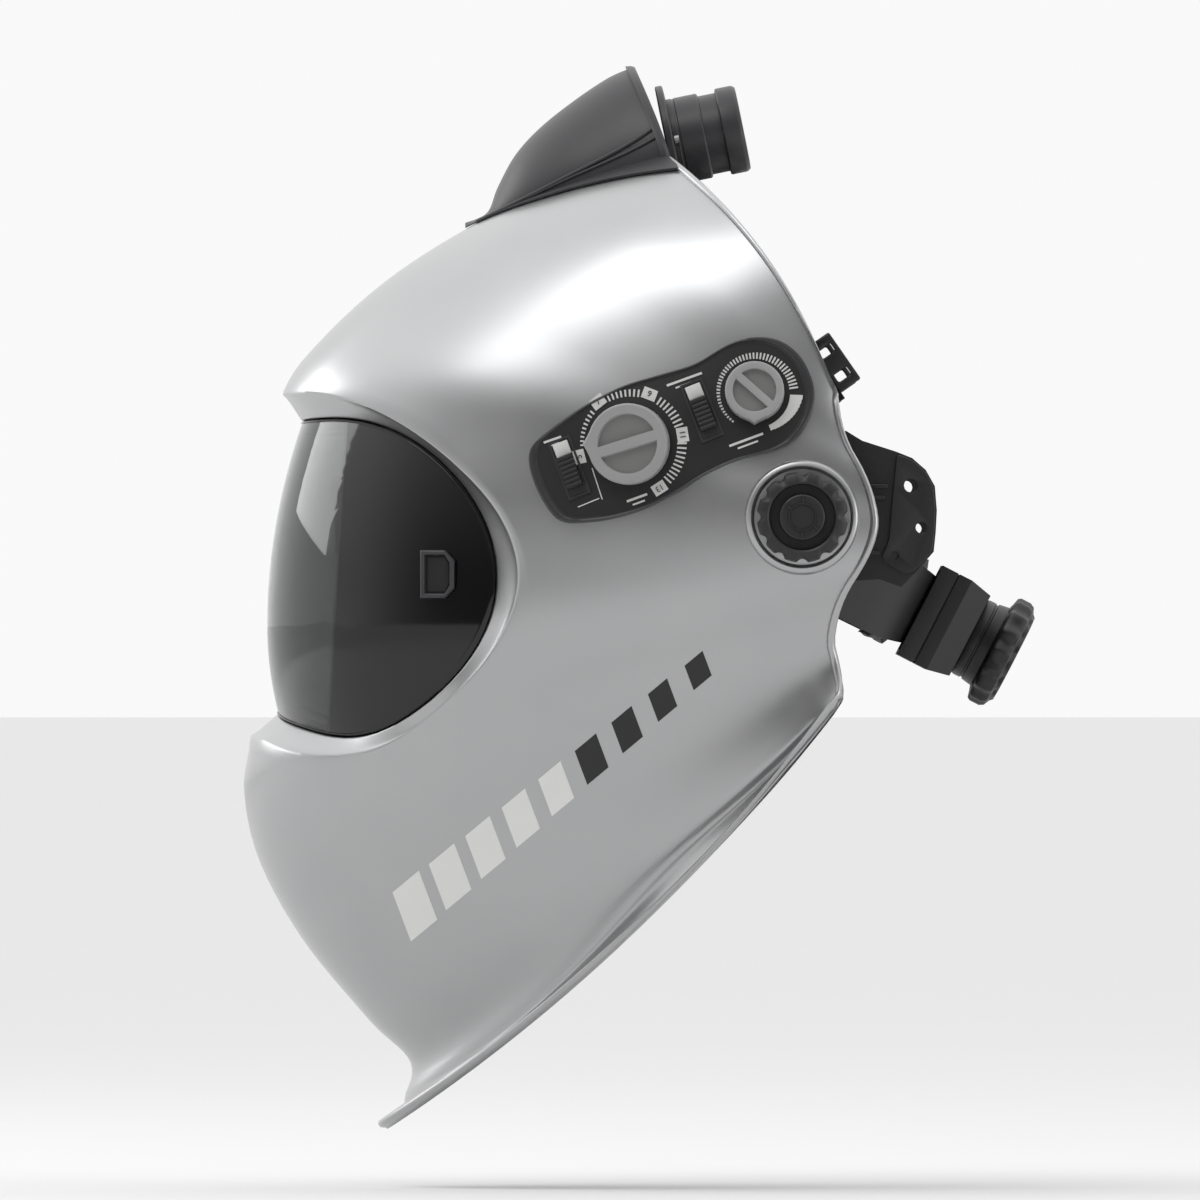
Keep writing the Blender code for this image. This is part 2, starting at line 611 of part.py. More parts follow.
def strap(name, foot, crest, width, look="black_plastic", wall=1.6, reach=ARM_X - 2.0, span=80.0, off=0.0):
    """A strap arched over the head from side to side between the feet and the crest."""
    ahead = Vector((0.0, crest[0] - foot[0], crest[1] - foot[1]))
    across = Vector((0.0, -ahead.z, ahead.y)).normalized()
    if across.y < 0:
        across = -across
    path, outward = [], []
    for k in range(19):
        turn = math.radians(-span + 2 * span * k / 18)
        out = Vector((math.sin(turn), 0.0, 0.0)) + ahead.normalized() * math.cos(turn)
        point = Vector((reach * math.sin(turn), foot[0], foot[1])) + ahead * math.cos(turn)
        path.append(point + out * off)
        outward.append(out)
    return put(name, band(path, [across] * 19, outward, width, wall), look)


def build_straps():
    strap("crown_strap_rear", (16.0, 26.0), (-39.0, 106.0), 17.0, span=82.0)
    strap("crown_strap_front", (-8.0, 14.0), (-86.0, 84.0), 17.0, span=82.0)
    ridge_low, ridge_high = Vector((0.0, -91.0, 80.0)), Vector((0.0, -34.0, 109.0))
    away = Vector((0.0, -(ridge_high - ridge_low).z, (ridge_high - ridge_low).y)).normalized()
    middle = (ridge_low + ridge_high) / 2
    axes = (Vector((1.0, 0.0, 0.0)), (ridge_high - ridge_low).normalized(), away)
    put("crown_bridge", block(middle + away * 8.6, (24.0, 36.0, 2.0), axes), "black_plastic")
    put("crown_pad", block(middle - away * 9.5, (44.0, 52.0, 8.0), axes), "soft_black")
    for name, side in (("left", 1.0), ("right", -1.0)):
        leaning = (Vector((1.0, 0.0, 0.0)), Vector((0.0, 0.82, 0.57)), Vector((0.0, -0.57, 0.82)))
        buckle = block(Vector((side * 82.4, 11.5, 54.5)), (3.0, 9.0, 20.0), leaning)
        put(f"strap_buckle_{name}", buckle, "black_plastic")


def build_pivots():
    for name, side in (("left", 1.0), ("right", -1.0)):
        axis = Vector((side, 0.0, 0.0))
        put(f"carrier_{name}", block(Vector((side * 92.05, 0.0, 0.0)), (17.1, 26.0, 20.0)), "black_plastic")
        put(f"pivot_stud_{name}", turned([(4.0, 101.0), (4.0, 110.4)], Vector(), axis, 16), "steel")
        washer = [(12.0, 101.2), (12.0, 104.4), (4.4, 104.4), (4.4, 101.2)]
        put(f"friction_washer_{name}", turned(washer, Vector(), axis, 20, bored=True), "rubber")

        def scallop(angle):
            return 1.0 - 0.07 * (0.5 - 0.5 * math.cos(12 * angle)) ** 0.8

        knob = [(PIVOT_KNOB_RADIUS - 1.5, 110.8), (PIVOT_KNOB_RADIUS, 112.5), (PIVOT_KNOB_RADIUS, 118.0),
                (PIVOT_KNOB_RADIUS - 2.5, 120.5)]
        centre = Vector((side * 110.8, 0.0, 0.0))
        knob = [(radius, height - 110.8) for radius, height in knob]
        grip = turned(knob, centre, axis, 48, shape=scallop)
        put(f"pivot_knob_{name}", grip, "black_plastic", origin=centre)
        cap_centre = centre + axis * 10.1
        put(f"knob_cap_{name}", turned([(7.9, 0.0), (7.9, 1.2)], cap_centre, axis, 24), "black_plastic",
            origin=cap_centre)


def build_ratchet():
    ahead = Vector((0.0, -math.cos(RING_TILT), math.sin(RING_TILT)))
    up = Vector((0.0, math.sin(RING_TILT), math.cos(RING_TILT)))
    across = Vector((1.0, 0.0, 0.0))
    spot = RING_CENTRE + up * RATCHET_CENTRE_RISE
    outline = ((-34.0, 103.6), (-34.0, 112.0), (-27.0, 121.0), (27.0, 121.0), (34.0, 112.0), (34.0, 103.6))
    rings = [[spot + across * x - ahead * back + up * rise for x, back in outline] for rise in (-17.8, 17.8)]
    put("ratchet_housing", loft(rings), "hood_plastic")
    outline = ((-40.0, 83.0), (-20.0, 90.0), (20.0, 90.0), (40.0, 83.0),
               (40.0, 89.0), (20.0, 96.5), (-20.0, 96.5), (-40.0, 89.0))
    pad = [[spot + across * x - ahead * back + up * rise for x, back in outline] for rise in (-18.0, 18.0)]
    put("nape_pad", loft(pad), "soft_black")
    centre = spot - ahead * 121.3

    def lobes(angle):
        return 1.0 - 0.05 * (0.5 - 0.5 * math.cos(16 * angle))

    knob = [(14.5, 0.0), (15.5, 8.0), (RATCHET_KNOB_RADIUS, 9.5), (RATCHET_KNOB_RADIUS, 15.0), (17.0, 17.8)]
    put("ratchet_knob", turned(knob, centre, -ahead, 48, shape=lobes, up=up), "black_plastic", origin=centre)
    put("ratchet_pinion", turned([(2.2, 97.2), (2.2, 103.2)], spot, -ahead, 12, up=up), "steel")


def build_cable():
    """The control lead from the module behind the panel to the filter cassette."""
    route = ((90.5, -83.5, 20.0), (85.5, -91.0, 12.0), (77.0, -104.0, 2.0), (70.0, -124.0, -8.0),
             (60.0, -143.0, -14.0), (52.2, -154.0, -17.0))
    knots = np.array(route)
    points = []
    for base in range(len(knots) - 1):
        p0, p1 = knots[max(base - 1, 0)], knots[base]
        p2, p3 = knots[base + 1], knots[min(base + 2, len(knots) - 1)]
        for t in np.arange(0.0, 1.0, 0.25):
            bend = 2 * p0 - 5 * p1 + 4 * p2 - p3 + t * (3 * (p1 - p2) + p3 - p0)
            points.append(p1 + 0.5 * t * (p2 - p0 + t * bend))
    points.append(knots[-1])
    lead = bpy.data.curves.new("control_cable", "CURVE")
    lead.dimensions = "3D"
    lead.bevel_depth = 1.5 * MM
    lead.bevel_resolution = 2
    lead.use_fill_caps = True
    spline = lead.splines.new("POLY")
    spline.points.add(len(points) - 1)
    for point, place in zip(spline.points, points):
        point.co = (*(place * MM), 1.0)
    made = bpy.data.objects.new("control_cable", lead)
    lead.materials.append(finish("rubber"))
    bpy.context.scene.collection.objects.link(made)


def main():
    for old in list(bpy.data.objects):
        bpy.data.objects.remove(old, do_unlink=True)
    build_shell()
    build_visor()
    build_cassette()
    build_panel()
    build_hood()
    build_inlet()
    build_inner_duct()
    build_head_ring()
    build_straps()
    build_pivots()
    build_ratchet()
    build_cable()


main()
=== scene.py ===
"""Looks of the powered air respirator helmet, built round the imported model.

Tables are in millimetres in the model's own frame; MM turns them into metres when a mesh is made.
"""

import math

import bmesh
import bpy
import numpy as np
from mathutils import Matrix, Vector


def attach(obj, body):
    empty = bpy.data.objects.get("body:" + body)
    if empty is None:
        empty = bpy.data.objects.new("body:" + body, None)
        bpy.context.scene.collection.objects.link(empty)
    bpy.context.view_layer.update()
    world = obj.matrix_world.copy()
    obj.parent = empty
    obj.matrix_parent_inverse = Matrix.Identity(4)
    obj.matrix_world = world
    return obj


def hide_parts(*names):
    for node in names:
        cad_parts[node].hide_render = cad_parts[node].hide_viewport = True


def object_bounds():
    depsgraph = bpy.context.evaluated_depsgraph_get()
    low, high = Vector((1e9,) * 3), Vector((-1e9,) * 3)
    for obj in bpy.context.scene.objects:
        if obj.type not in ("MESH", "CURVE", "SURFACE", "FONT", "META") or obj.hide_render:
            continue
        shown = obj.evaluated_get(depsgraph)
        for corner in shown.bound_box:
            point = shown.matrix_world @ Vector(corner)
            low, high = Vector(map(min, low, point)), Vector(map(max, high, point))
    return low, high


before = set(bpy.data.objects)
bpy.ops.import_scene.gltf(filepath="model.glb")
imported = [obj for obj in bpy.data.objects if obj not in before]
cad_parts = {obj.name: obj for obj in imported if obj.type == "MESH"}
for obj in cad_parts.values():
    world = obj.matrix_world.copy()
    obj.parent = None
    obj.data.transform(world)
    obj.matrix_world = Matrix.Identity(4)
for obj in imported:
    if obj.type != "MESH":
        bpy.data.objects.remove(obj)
CAD_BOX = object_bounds()

MM = 0.001
SHELL_WALL = 2.5
LENS_WALL = 2.0
LENS_AXIS_Y = -103.0
LENS_BULGE = 86.2
LENS_WIDEST_Z = -38.0
LENS_MIDDLE_Z = -20.0
TINT_BORDER = Vector((0.0, -162.0, 2.5))
TINT_BORDER_LEAN = 0.06
PANEL_LIFT = 3.2
PANEL_TILT = math.radians(22.0)
TUBE_START = Vector((0.0, -48.0, 132.9))
TUBE_RISE = math.radians(11.5)
RING_CENTRE = Vector((0.0, -45.4, 17.8))
RING_TILT = math.radians(27.3)
HEAD_RING_FORE = 100.0
HEAD_RING_HALF_WIDTH = 79.0
HEAD_RING_FULLNESS = 2.5
RATCHET_RISE = -4.6
LEFT = Vector((1.0, 0.0, 0.0))
BACK = Vector((0.0, 1.0, 0.0))
UP = Vector((0.0, 0.0, 1.0))
SIDES = (("left", 1.0), ("right", -1.0))
HEAD_AHEAD = Vector((0.0, -math.cos(RING_TILT), math.sin(RING_TILT)))
HEAD_UP = Vector((0.0, math.sin(RING_TILT), math.cos(RING_TILT)))

# Shell slices from the crown to the chin: rear edge y, z; centre line y, z; bow; half width; fullness.
SLICES = np.array((
    (11.7, 42.2, -50.8, 130.6, 8.7, 100.0, 2.2),
    (13.5, 33.0, -85.2, 119.3, 5.0, 103.0, 2.2),
    (17.0, 23.8, -117.9, 103.0, 2.5, 105.0, 2.2),
    (21.3, 16.3, -146.6, 84.5, 1.0, 107.0, 2.2),
    (24.5, 8.2, -170.0, 63.2, 0.0, 108.0, 2.3),
    (26.3, -0.4, -183.5, 44.7, 0.0, 108.0, 2.3),
    (25.6, -6.7, -191.0, 13.5, 0.0, 108.0, 2.4),
    (23.4, -12.8, -195.3, -18.5, 0.0, 107.5, 2.4),
    (20.2, -18.8, -196.7, -50.4, 0.0, 106.0, 2.4),
    (16.3, -24.9, -195.3, -78.1, 0.0, 103.0, 2.3),
    (12.8, -33.4, -197.4, -96.6, 0.0, 99.0, 2.2),
    (11.0, -43.3, -192.0, -121.4, 0.0, 96.0, 2.1),
    (12.4, -50.4, -176.4, -149.8, -2.0, 95.0, 1.95),
    (13.5, -56.1, -153.0, -178.2, -5.0, 96.0, 1.85),
    (13.8, -59.6, -137.7, -195.3, -8.0, 97.0, 1.75),
    (13.5, -62.8, -147.7, -216.2, -10.0, 98.0, 1.7),
))
LAST_SLICE = len(SLICES) - 1
BROW_SLICE = 5.0
CHIN_SLICE = 9.0

# Side outlines as y, z.
RECESS_EDGE = (
    (-183.5, 44.7), (-174.0, 45.8), (-161.5, 43.3), (-149.1, 38.5), (-135.8, 30.9), (-121.4, 19.5),
    (-107.2, 4.3), (-99.8, -9.9), (-97.6, -23.4), (-101.5, -36.6), (-109.2, -50.1), (-121.4, -63.2),
    (-135.8, -75.6), (-149.1, -82.7), (-161.5, -85.6), (-174.0, -85.6), (-185.3, -82.7), (-193.8, -77.4),
)
LENS_EDGE = (
    (-176.8, 33.7), (-161.5, 34.8), (-149.1, 32.8), (-135.8, 26.3), (-126.4, 18.5), (-116.8, 7.1),
    (-111.1, -4.3), (-108.3, -15.6), (-108.6, -29.1), (-112.0, -39.4), (-118.6, -50.8), (-128.2, -61.4),
    (-140.6, -70.8), (-149.1, -75.6), (-156.6, -77.4), (-165.3, -77.0), (-175.7, -73.8), (-185.3, -68.9),
)
PANEL_EDGE = (
    (-96.4, 24.0), (-86.4, 32.1), (-77.4, 38.3), (-62.8, 45.8), (-44.7, 51.1), (-36.6, 53.3), (-29.5, 58.2),
    (-23.1, 62.1), (-15.8, 63.5), (-6.7, 62.1), (0.4, 55.7), (5.0, 44.0), (3.2, 34.8), (-2.1, 26.6),
    (-9.6, 22.7), (-23.1, 19.9), (-33.9, 14.9), (-43.0, 8.5), (-55.7, 2.1), (-68.2, -1.4), (-84.5, -2.8),
    (-86.4, -1.4), (-92.7, 8.5), (-95.9, 17.8),
)
# Air hood from its front tip to its rear face: slice number; crest y, z; half width.
HOOD_STATIONS = np.array((
    (2.02, -118.5, 104.2, 3.0), (1.85, -110.8, 107.7, 11.0), (1.6, -107.0, 116.8, 19.0),
    (1.3, -100.8, 128.2, 26.0), (0.95, -92.0, 137.9, 31.0), (0.6, -80.0, 147.5, 34.5),
    (0.3, -68.0, 155.5, 37.0), (0.06, -59.6, 159.2, 38.0),
))


# ---------------------------------------------------------------- finishes

def linear(hexcode):
    """An sRGB hex colour as the linear colour that shaders take."""
    parts = [int(hexcode[k:k + 2], 16) / 255 for k in (0, 2, 4)]
    return tuple(p / 12.92 if p <= 0.04045 else ((p + 0.055) / 1.055) ** 2.4 for p in parts) + (1.0,)


def add(tree, kind, links=(), **settings):
    """Adds one node; settings are its properties or sockets, links are (its socket, other socket) pairs."""
    made = tree.nodes.new(kind)
    for key, value in settings.items():
        if hasattr(made, key):
            setattr(made, key, value)
        else:
            made.inputs[key.replace("_", " ")].default_value = value
    for socket, source in links:
        tree.links.new(made.inputs[socket], source)
    return made


def shader_of(name, **sockets):
    """A new material with its Principled shader set from plain values."""
    made = bpy.data.materials.new(name)
    made.use_nodes = True
    shader = made.node_tree.nodes["Principled BSDF"]
    for key, value in sockets.items():
        shader.inputs[key.replace("_", " ")].default_value = value
    return made, made.node_tree, shader


def grained(name, dark, light, rough, grain_mm, depth_mm, metallic=0.0, coat=0.0):
    """A moulded or sprayed surface: fine grain in bump, slow drift of colour and gloss."""
    made, tree, shader = shader_of(name, Metallic=metallic, Coat_Weight=coat, Coat_Roughness=0.12)
    place = add(tree, "ShaderNodeTexCoord").outputs["Object"]
    fine = add(tree, "ShaderNodeTexNoise", [("Vector", place)], Scale=1 / (grain_mm * MM), Detail=3.0)
    slow = add(tree, "ShaderNodeTexNoise", [("Vector", place)], Scale=28.0, Detail=4.0)
    tint = add(tree, "ShaderNodeMix", [(0, slow.outputs["Fac"])], data_type="RGBA")
    tint.inputs[6].default_value = linear(dark)
    tint.inputs[7].default_value = linear(light)
    tree.links.new(shader.inputs["Base Color"], tint.outputs[2])
    gloss = add(tree, "ShaderNodeMapRange", [("Value", slow.outputs["Fac"])])
    gloss.inputs["To Min"].default_value = rough - 0.05
    gloss.inputs["To Max"].default_value = rough + 0.07
    tree.links.new(shader.inputs["Roughness"], gloss.outputs["Result"])
    bump = add(tree, "ShaderNodeBump", [("Height", fine.outputs["Fac"])], Strength=0.6,
               Distance=depth_mm * MM)
    tree.links.new(shader.inputs["Normal"], bump.outputs["Normal"])
    return made


def knitted(name, dark, light, thread_mm):
    """Knitted polyester over foam: crossed waves a thread apart, drawn coarse enough to show, with sheen."""
    made, tree, shader = shader_of(name, Roughness=0.92, Sheen_Weight=0.35, Sheen_Roughness=0.5)
    place = add(tree, "ShaderNodeTexCoord")
    waves = []
    for turn in (0.78, -0.78):
        aim = add(tree, "ShaderNodeMapping", [("Vector", place.outputs["Object"])])
        aim.inputs["Rotation"].default_value = (turn, 0.3, turn)
        waves.append(add(tree, "ShaderNodeTexWave", [("Vector", aim.outputs["Vector"])],
                         Scale=0.32 / (thread_mm * MM), Distortion=1.5, Detail=1.0))
    both = add(tree, "ShaderNodeMath", [(0, waves[0].outputs["Fac"]), (1, waves[1].outputs["Fac"])],
               operation="MULTIPLY")
    tint = add(tree, "ShaderNodeMix", [(0, both.outputs[0])], data_type="RGBA")
    tint.inputs[6].default_value = linear(dark)
    tint.inputs[7].default_value = linear(light)
    tree.links.new(shader.inputs["Base Color"], tint.outputs[2])
    bump = add(tree, "ShaderNodeBump", [("Height", both.outputs[0])], Strength=0.7, Distance=0.0004)
    tree.links.new(shader.inputs["Normal"], bump.outputs["Normal"])
    return made


def smooth_gloss(name, colour, rough, transmission=0.0, ior=1.5, alpha=1.0, smudge=0.03):
    """Polished plastic or glass with faint wipe marks in its gloss."""
    made, tree, shader = shader_of(name, IOR=ior, Transmission_Weight=transmission, Alpha=alpha)
    shader.inputs["Base Color"].default_value = linear(colour)
    place = add(tree, "ShaderNodeTexCoord")
    wipe = add(tree, "ShaderNodeTexNoise", [("Vector", place.outputs["Object"])], Scale=45.0, Detail=3.0)
    gloss = add(tree, "ShaderNodeMapRange", [("Value", wipe.outputs["Fac"])])
    gloss.inputs["To Min"].default_value = rough
    gloss.inputs["To Max"].default_value = rough + smudge
    tree.links.new(shader.inputs["Roughness"], gloss.outputs["Result"])
    return made


# Sprayed silver lacquer on nylon: a broad soft highlight with a fine aluminium flake.
SILVER = grained("silver_lacquer", "A8A9AA", "B3B3B4", 0.31, 0.5, 0.01, metallic=0.92, coat=0.15)
# Spark-eroded black nylon: dull, with a grain that only shows in raking light.
NYLON = grained("moulded_black_nylon", "161617", "1D1D1E", 0.44, 0.55, 0.05)
# Charcoal polyamide of the air duct: satin with softer grain.
CHARCOAL = grained("moulded_charcoal_polyamide", "2E2E30", "37373A", 0.4, 0.6, 0.04)
# Soft-touch black of the control panel's face: very dark and even.
PANEL_BLACK = grained("soft_touch_black", "101011", "141415", 0.5, 0.4, 0.02)
# Satin border moulded round the panel face: catches light along its edge.
PANEL_BORDER = grained("satin_panel_border", "2C2C2E", "343436", 0.34, 0.5, 0.02)
# Grey ABS of the dials: mid grey, satin.
DIAL_GREY = grained("satin_grey_abs", "8E8E8E", "989898", 0.38, 0.5, 0.03)
# The same grey ABS made darker for the pocket floors: painted shade in the dial pockets.
DIAL_POCKET_SHADE = grained("grey_abs_painted_pocket_shade", "6C6C6B", "777776", 0.45, 0.5, 0.03)
# Pad-printed light grey ink: flat and slightly rough.
INK = grained("printed_light_ink", "C4C4C2", "CFCFCD", 0.6, 0.4, 0.005)
DARK_INK = grained("printed_dark_ink", "19191A", "202021", 0.5, 0.4, 0.005)
PALE_INK = grained("printed_pale_ink", "DCDCDA", "E4E4E2", 0.5, 0.4, 0.005)
# Smoked polycarbonate sides of the cover lens: nearly black and mirror smooth.
SMOKED = smooth_gloss("smoked_polycarbonate", "0E0E10", 0.05)
# Lightly smoked polycarbonate front of the cover lens: see-through, dark in depth, clean reflection.
TINTED = smooth_gloss("tinted_polycarbonate", "606464", 0.01, transmission=1.0, ior=1.58, smudge=0.02)
# Clear polycarbonate of the inner cover lens: see-through with a clean reflection.
CLEAR = smooth_gloss("clear_polycarbonate", "E8ECEC", 0.01, transmission=1.0, ior=1.58, smudge=0.02)
# Matt near-black with hardly any shine: painted shade on the floor of the pivot knob's groove, and the push
# faces of the lens clips.
BLACK_AND_GROOVE_SHADE = grained("matt_black_and_painted_groove_shade", "060606", "090909", 0.6, 0.5, 0.02)
# Dark welding filter glass: green-black and polished.
FILTER = smooth_gloss("dark_filter_glass", "10201A", 0.03)
CELL = smooth_gloss("solar_cell_glass", "14141E", 0.08)
# Nitrile rubber: matt black.
RUBBER = grained("black_nitrile_rubber", "131314", "1A1A1B", 0.7, 0.7, 0.03)
# Zinc-plated steel: bright with a soft brushed haze.
ZINC = grained("zinc_plated_steel", "9A9A98", "A8A8A6", 0.28, 0.3, 0.01, metallic=1.0)
# Polyester knit over foam for the pads that touch the head.
KNIT = knitted("black_polyester_knit", "0D0D0E", "222224", 1.1)


# ---------------------------------------------------------------- shell surface

def on_curve(table, where):
    """A table's numbers at a fractional row, on a Catmull-Rom curve."""
    last = len(table) - 1
    base = min(int(where), last - 1)
    t = where - base
    p0, p1, p2, p3 = table[max(base - 1, 0)], table[base], table[base + 1], table[min(base + 2, last)]
    return p1 + 0.5 * t * (p2 - p0 + t * (2 * p0 - 5 * p1 + 4 * p2 - p3 + t * (3 * (p1 - p2) + p3 - p0)))


def slice_at(u):
    """The shell's slice at a fractional slice number."""
    return on_curve(SLICES, min(max(u, 0.0), float(LAST_SLICE)))


def surface(u, v):
    """The shell's outer surface: v runs from 0 at the rear edge to 1 on the centre line."""
    ey, ez, py, pz, bow, width, full = slice_at(u)
    v = min(max(v, 0.0), 1.0)
    c = math.sin(v * math.pi / 2)
    dy, dz = py - ey, pz - ez
    lift = bow * 4 * c * (1 - c) / math.hypot(dy, dz)
    x = width * max(1 - c ** full, 0.0) ** (1 / full)
    return Vector((x, ey + dy * c + dz * lift, ez + dz * c - dy * lift))


def surface_normal(u, v):
    """The outward normal, from small steps on the surface."""
    v = min(v, 0.995)
    along = surface(u + 0.02, v) - surface(u - 0.02, v)
    over = surface(u, v + 0.004) - surface(u, v - 0.004)
    normal = along.cross(over).normalized()
    return normal if normal.x > 0 else -normal


def crown_v(u, x):
    """Where a slice reaches x on its way to the centre line."""
    width, full = slice_at(u)[5:7]
    reach = max(1 - (abs(x) / width) ** full, 0.0) ** (1 / full)
    return math.asin(min(reach, 1.0)) / (math.pi / 2)


GRID_U = np.linspace(0.0, LAST_SLICE, 121)
GRID_V = np.linspace(0.0, 0.98, 80)
GRID = np.array([[tuple(surface(u, v)) for v in GRID_V] for u in GRID_U])


def locate(target):
    """Surface coordinates of the side point at y, z."""
    goal = np.array(target)
    off = np.sum((GRID[:, :, 1:] - goal) ** 2, axis=2)
    i, j = np.unravel_index(np.argmin(off), off.shape)
    u, v = float(GRID_U[i]), float(GRID_V[j])
    for _ in range(6):
        here = np.array(surface(u, v))[1:]
        du = (np.array(surface(u + 0.01, v))[1:] - here) / 0.01
        dv = (np.array(surface(u, v + 0.002))[1:] - here) / 0.002
        move, *_ = np.linalg.lstsq(np.stack((du, dv), axis=1), goal - here, rcond=None)
        u = min(max(u + float(move[0]), 0.0), float(LAST_SLICE))
        v = min(max(v + float(move[1]), 0.0), 0.997)
    return u, v


def side_point(y, z, off=0.0):
    """A point on the wearer's left of the shell seen at y, z, moved out by off."""
    u, v = locate((y, z))
    return surface(u, v) + surface_normal(u, v) * off


def side_frame(y, z, off=0.0):
    """A matrix standing on the shell at y, z: local z out, local y up the slope."""
    base = side_point(y, z, off)
    out = (side_point(y, z, off + 1.0) - base).normalized()
    upward = (UP - out * UP.dot(out)).normalized()
    across = upward.cross(out)
    turn = Matrix((across, upward, out)).transposed().to_4x4()
    return Matrix.Translation(base) @ turn


# ---------------------------------------------------------------- mesh helpers

def piece(name, bm, look, body, replaces=(), smooth=35.0):
    """Makes a finished piece at the origin from a millimetre bmesh and says what it rides on."""
    bmesh.ops.scale(bm, verts=bm.verts, vec=(MM, MM, MM))
    mesh = bpy.data.meshes.new(name)
    bm.to_mesh(mesh)
    bm.free()
    for finish in (look if isinstance(look, (list, tuple)) else [look]):
        mesh.materials.append(finish)
    made = bpy.data.objects.new(name, mesh)
    bpy.context.scene.collection.objects.link(made)
    mesh.shade_smooth()
    mesh.set_sharp_from_angle(angle=math.radians(smooth))
    return enrol(made, body, replaces)


def enrol(made, body, replaces=()):
    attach(made, body)
    if replaces:
        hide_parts(*replaces)
    return made


def apply_modifier(made, kind, **settings):
    """Adds one modifier and applies it."""
    bpy.ops.object.select_all(action="DESELECT")
    bpy.context.view_layer.objects.active = made
    made.select_set(True)
    added = made.modifiers.new(kind.lower(), kind)
    for key, value in settings.items():
        setattr(added, key, value)
    bpy.ops.object.modifier_apply(modifier=added.name)


def loft(rings, loop=False, caps=True):
    """Joins rings of equal length into one body."""
    bm = bmesh.new()
    rows = [[bm.verts.new(point) for point in ring] for ring in rings]
    pairs = list(zip(rows, rows[1:])) + ([(rows[-1], rows[0])] if loop else [])
    for near, far in pairs:
        for k in range(len(near)):
            after = (k + 1) % len(near)
            bm.faces.new((near[k], near[after], far[after], far[k]))
    if caps and not loop:
        bm.faces.new(rows[0])
        bm.faces.new(rows[-1])
    bmesh.ops.recalc_face_normals(bm, faces=bm.faces)
    if (caps or loop) and bm.calc_volume(signed=True) < 0:
        bmesh.ops.reverse_faces(bm, faces=bm.faces)
    return bm


def lathe(profile, sides, axes, start=Vector(), lobes=None, lobed_from=0.0):
    """A closed ring turned from (radius, distance) pairs about the first of three axes."""
    ahead, first, second = axes
    rings = []
    for k in range(sides):
        angle = math.tau * k / sides
        out = first * math.cos(angle) + second * math.sin(angle)
        swell = lobes(angle) if lobes else 1.0
        rings.append([start + ahead * along + out * (radius * (swell if radius > lobed_from else 1.0))
                      for radius, along in profile])
    return loft(rings, loop=True)


def mirrored(points):
    return [Vector((-p.x, p.y, p.z)) for p in points]


def resample(points, count):
    """Evenly spaced points along an open outline."""
    pts = np.array([tuple(p) for p in points])
    steps = np.linalg.norm(np.diff(pts, axis=0), axis=1)
    run = np.concatenate(([0.0], np.cumsum(steps)))
    where = np.linspace(0.0, run[-1], count)
    return np.stack([np.interp(where, run, pts[:, k]) for k in range(pts.shape[1])], axis=1)


def softened(points, rounds=2, closed=False):
    """Rounds an outline's corners by averaging its neighbours; open ends stay."""
    pts = np.array([tuple(p) for p in points], dtype=float)
    for _ in range(rounds):
        before, after = np.roll(pts, 1, axis=0), np.roll(pts, -1, axis=0)
        eased = 0.25 * before + 0.5 * pts + 0.25 * after
        if not closed:
            eased[0], eased[-1] = pts[0], pts[-1]
        pts = eased
    return pts


# ---------------------------------------------------------------- shell and visor

ARCH_COLUMNS = 44
REAR_COLUMNS = 36
LOWER_COLUMNS = 76
HALF_COLUMNS = ARCH_COLUMNS + REAR_COLUMNS + LOWER_COLUMNS + 1
SHELL_ROWS = 46
GROOVE_INSET = 9.0
GROOVE_WIDTH = 3.4
GROOVE_DEPTH = 2.2
EDGE_FLARE = 2.6
PIVOT_BOSS = ((20.5, 105.2), (20.0, 108.2), (19.2, 109.1), (18.0, 109.3), (17.2, 108.7), (16.8, 107.0),
              (16.8, 105.2))


def lens_radius(z):
    fall = 0.00241 if z > LENS_WIDEST_Z else 0.0041
    return LENS_BULGE - fall * (z - LENS_WIDEST_Z) ** 2


def lens_flat():
    """The lens edge unrolled: arc length round the axis and height."""
    flat = []
    for y, z in LENS_EDGE:
        turn = math.acos(min((LENS_AXIS_Y - y) / lens_radius(z), 1.0))
        flat.append((turn * LENS_BULGE, z))
    flat[0] = (0.0, LENS_EDGE[0][1])
    flat[-1] = (0.0, LENS_EDGE[-1][1])
    return softened(resample(flat, 60), 6)


def lens_point(arc, z, scale, off):
    """A point of the unrolled lens scaled about its middle and moved off its outer face."""
    arc *= scale
    z = LENS_MIDDLE_Z + (z - LENS_MIDDLE_Z) * scale
    reach = lens_radius(z) + off
    turn = arc / LENS_BULGE
    return Vector((reach * math.sin(turn), LENS_AXIS_Y - reach * math.cos(turn), z))


def round_the_lens(count, scale, off):
    """A closed ring of points parallel to the lens edge."""
    half = [lens_point(arc, z, scale, off) for arc, z in resample(lens_flat(), count)]
    return half + mirrored(half[-2:0:-1])


def rim_coordinates():
    """Surface coordinates round the rim: crown arch, rear edge, then lower edge to the chin."""
    arch = [(0.0, 1.0 - k / ARCH_COLUMNS) for k in range(ARCH_COLUMNS)]
    rear = [(LAST_SLICE * k / REAR_COLUMNS, 0.0) for k in range(REAR_COLUMNS)]
    lower = [(float(LAST_SLICE), k / LOWER_COLUMNS) for k in range(LOWER_COLUMNS + 1)]
    return arch + rear + lower


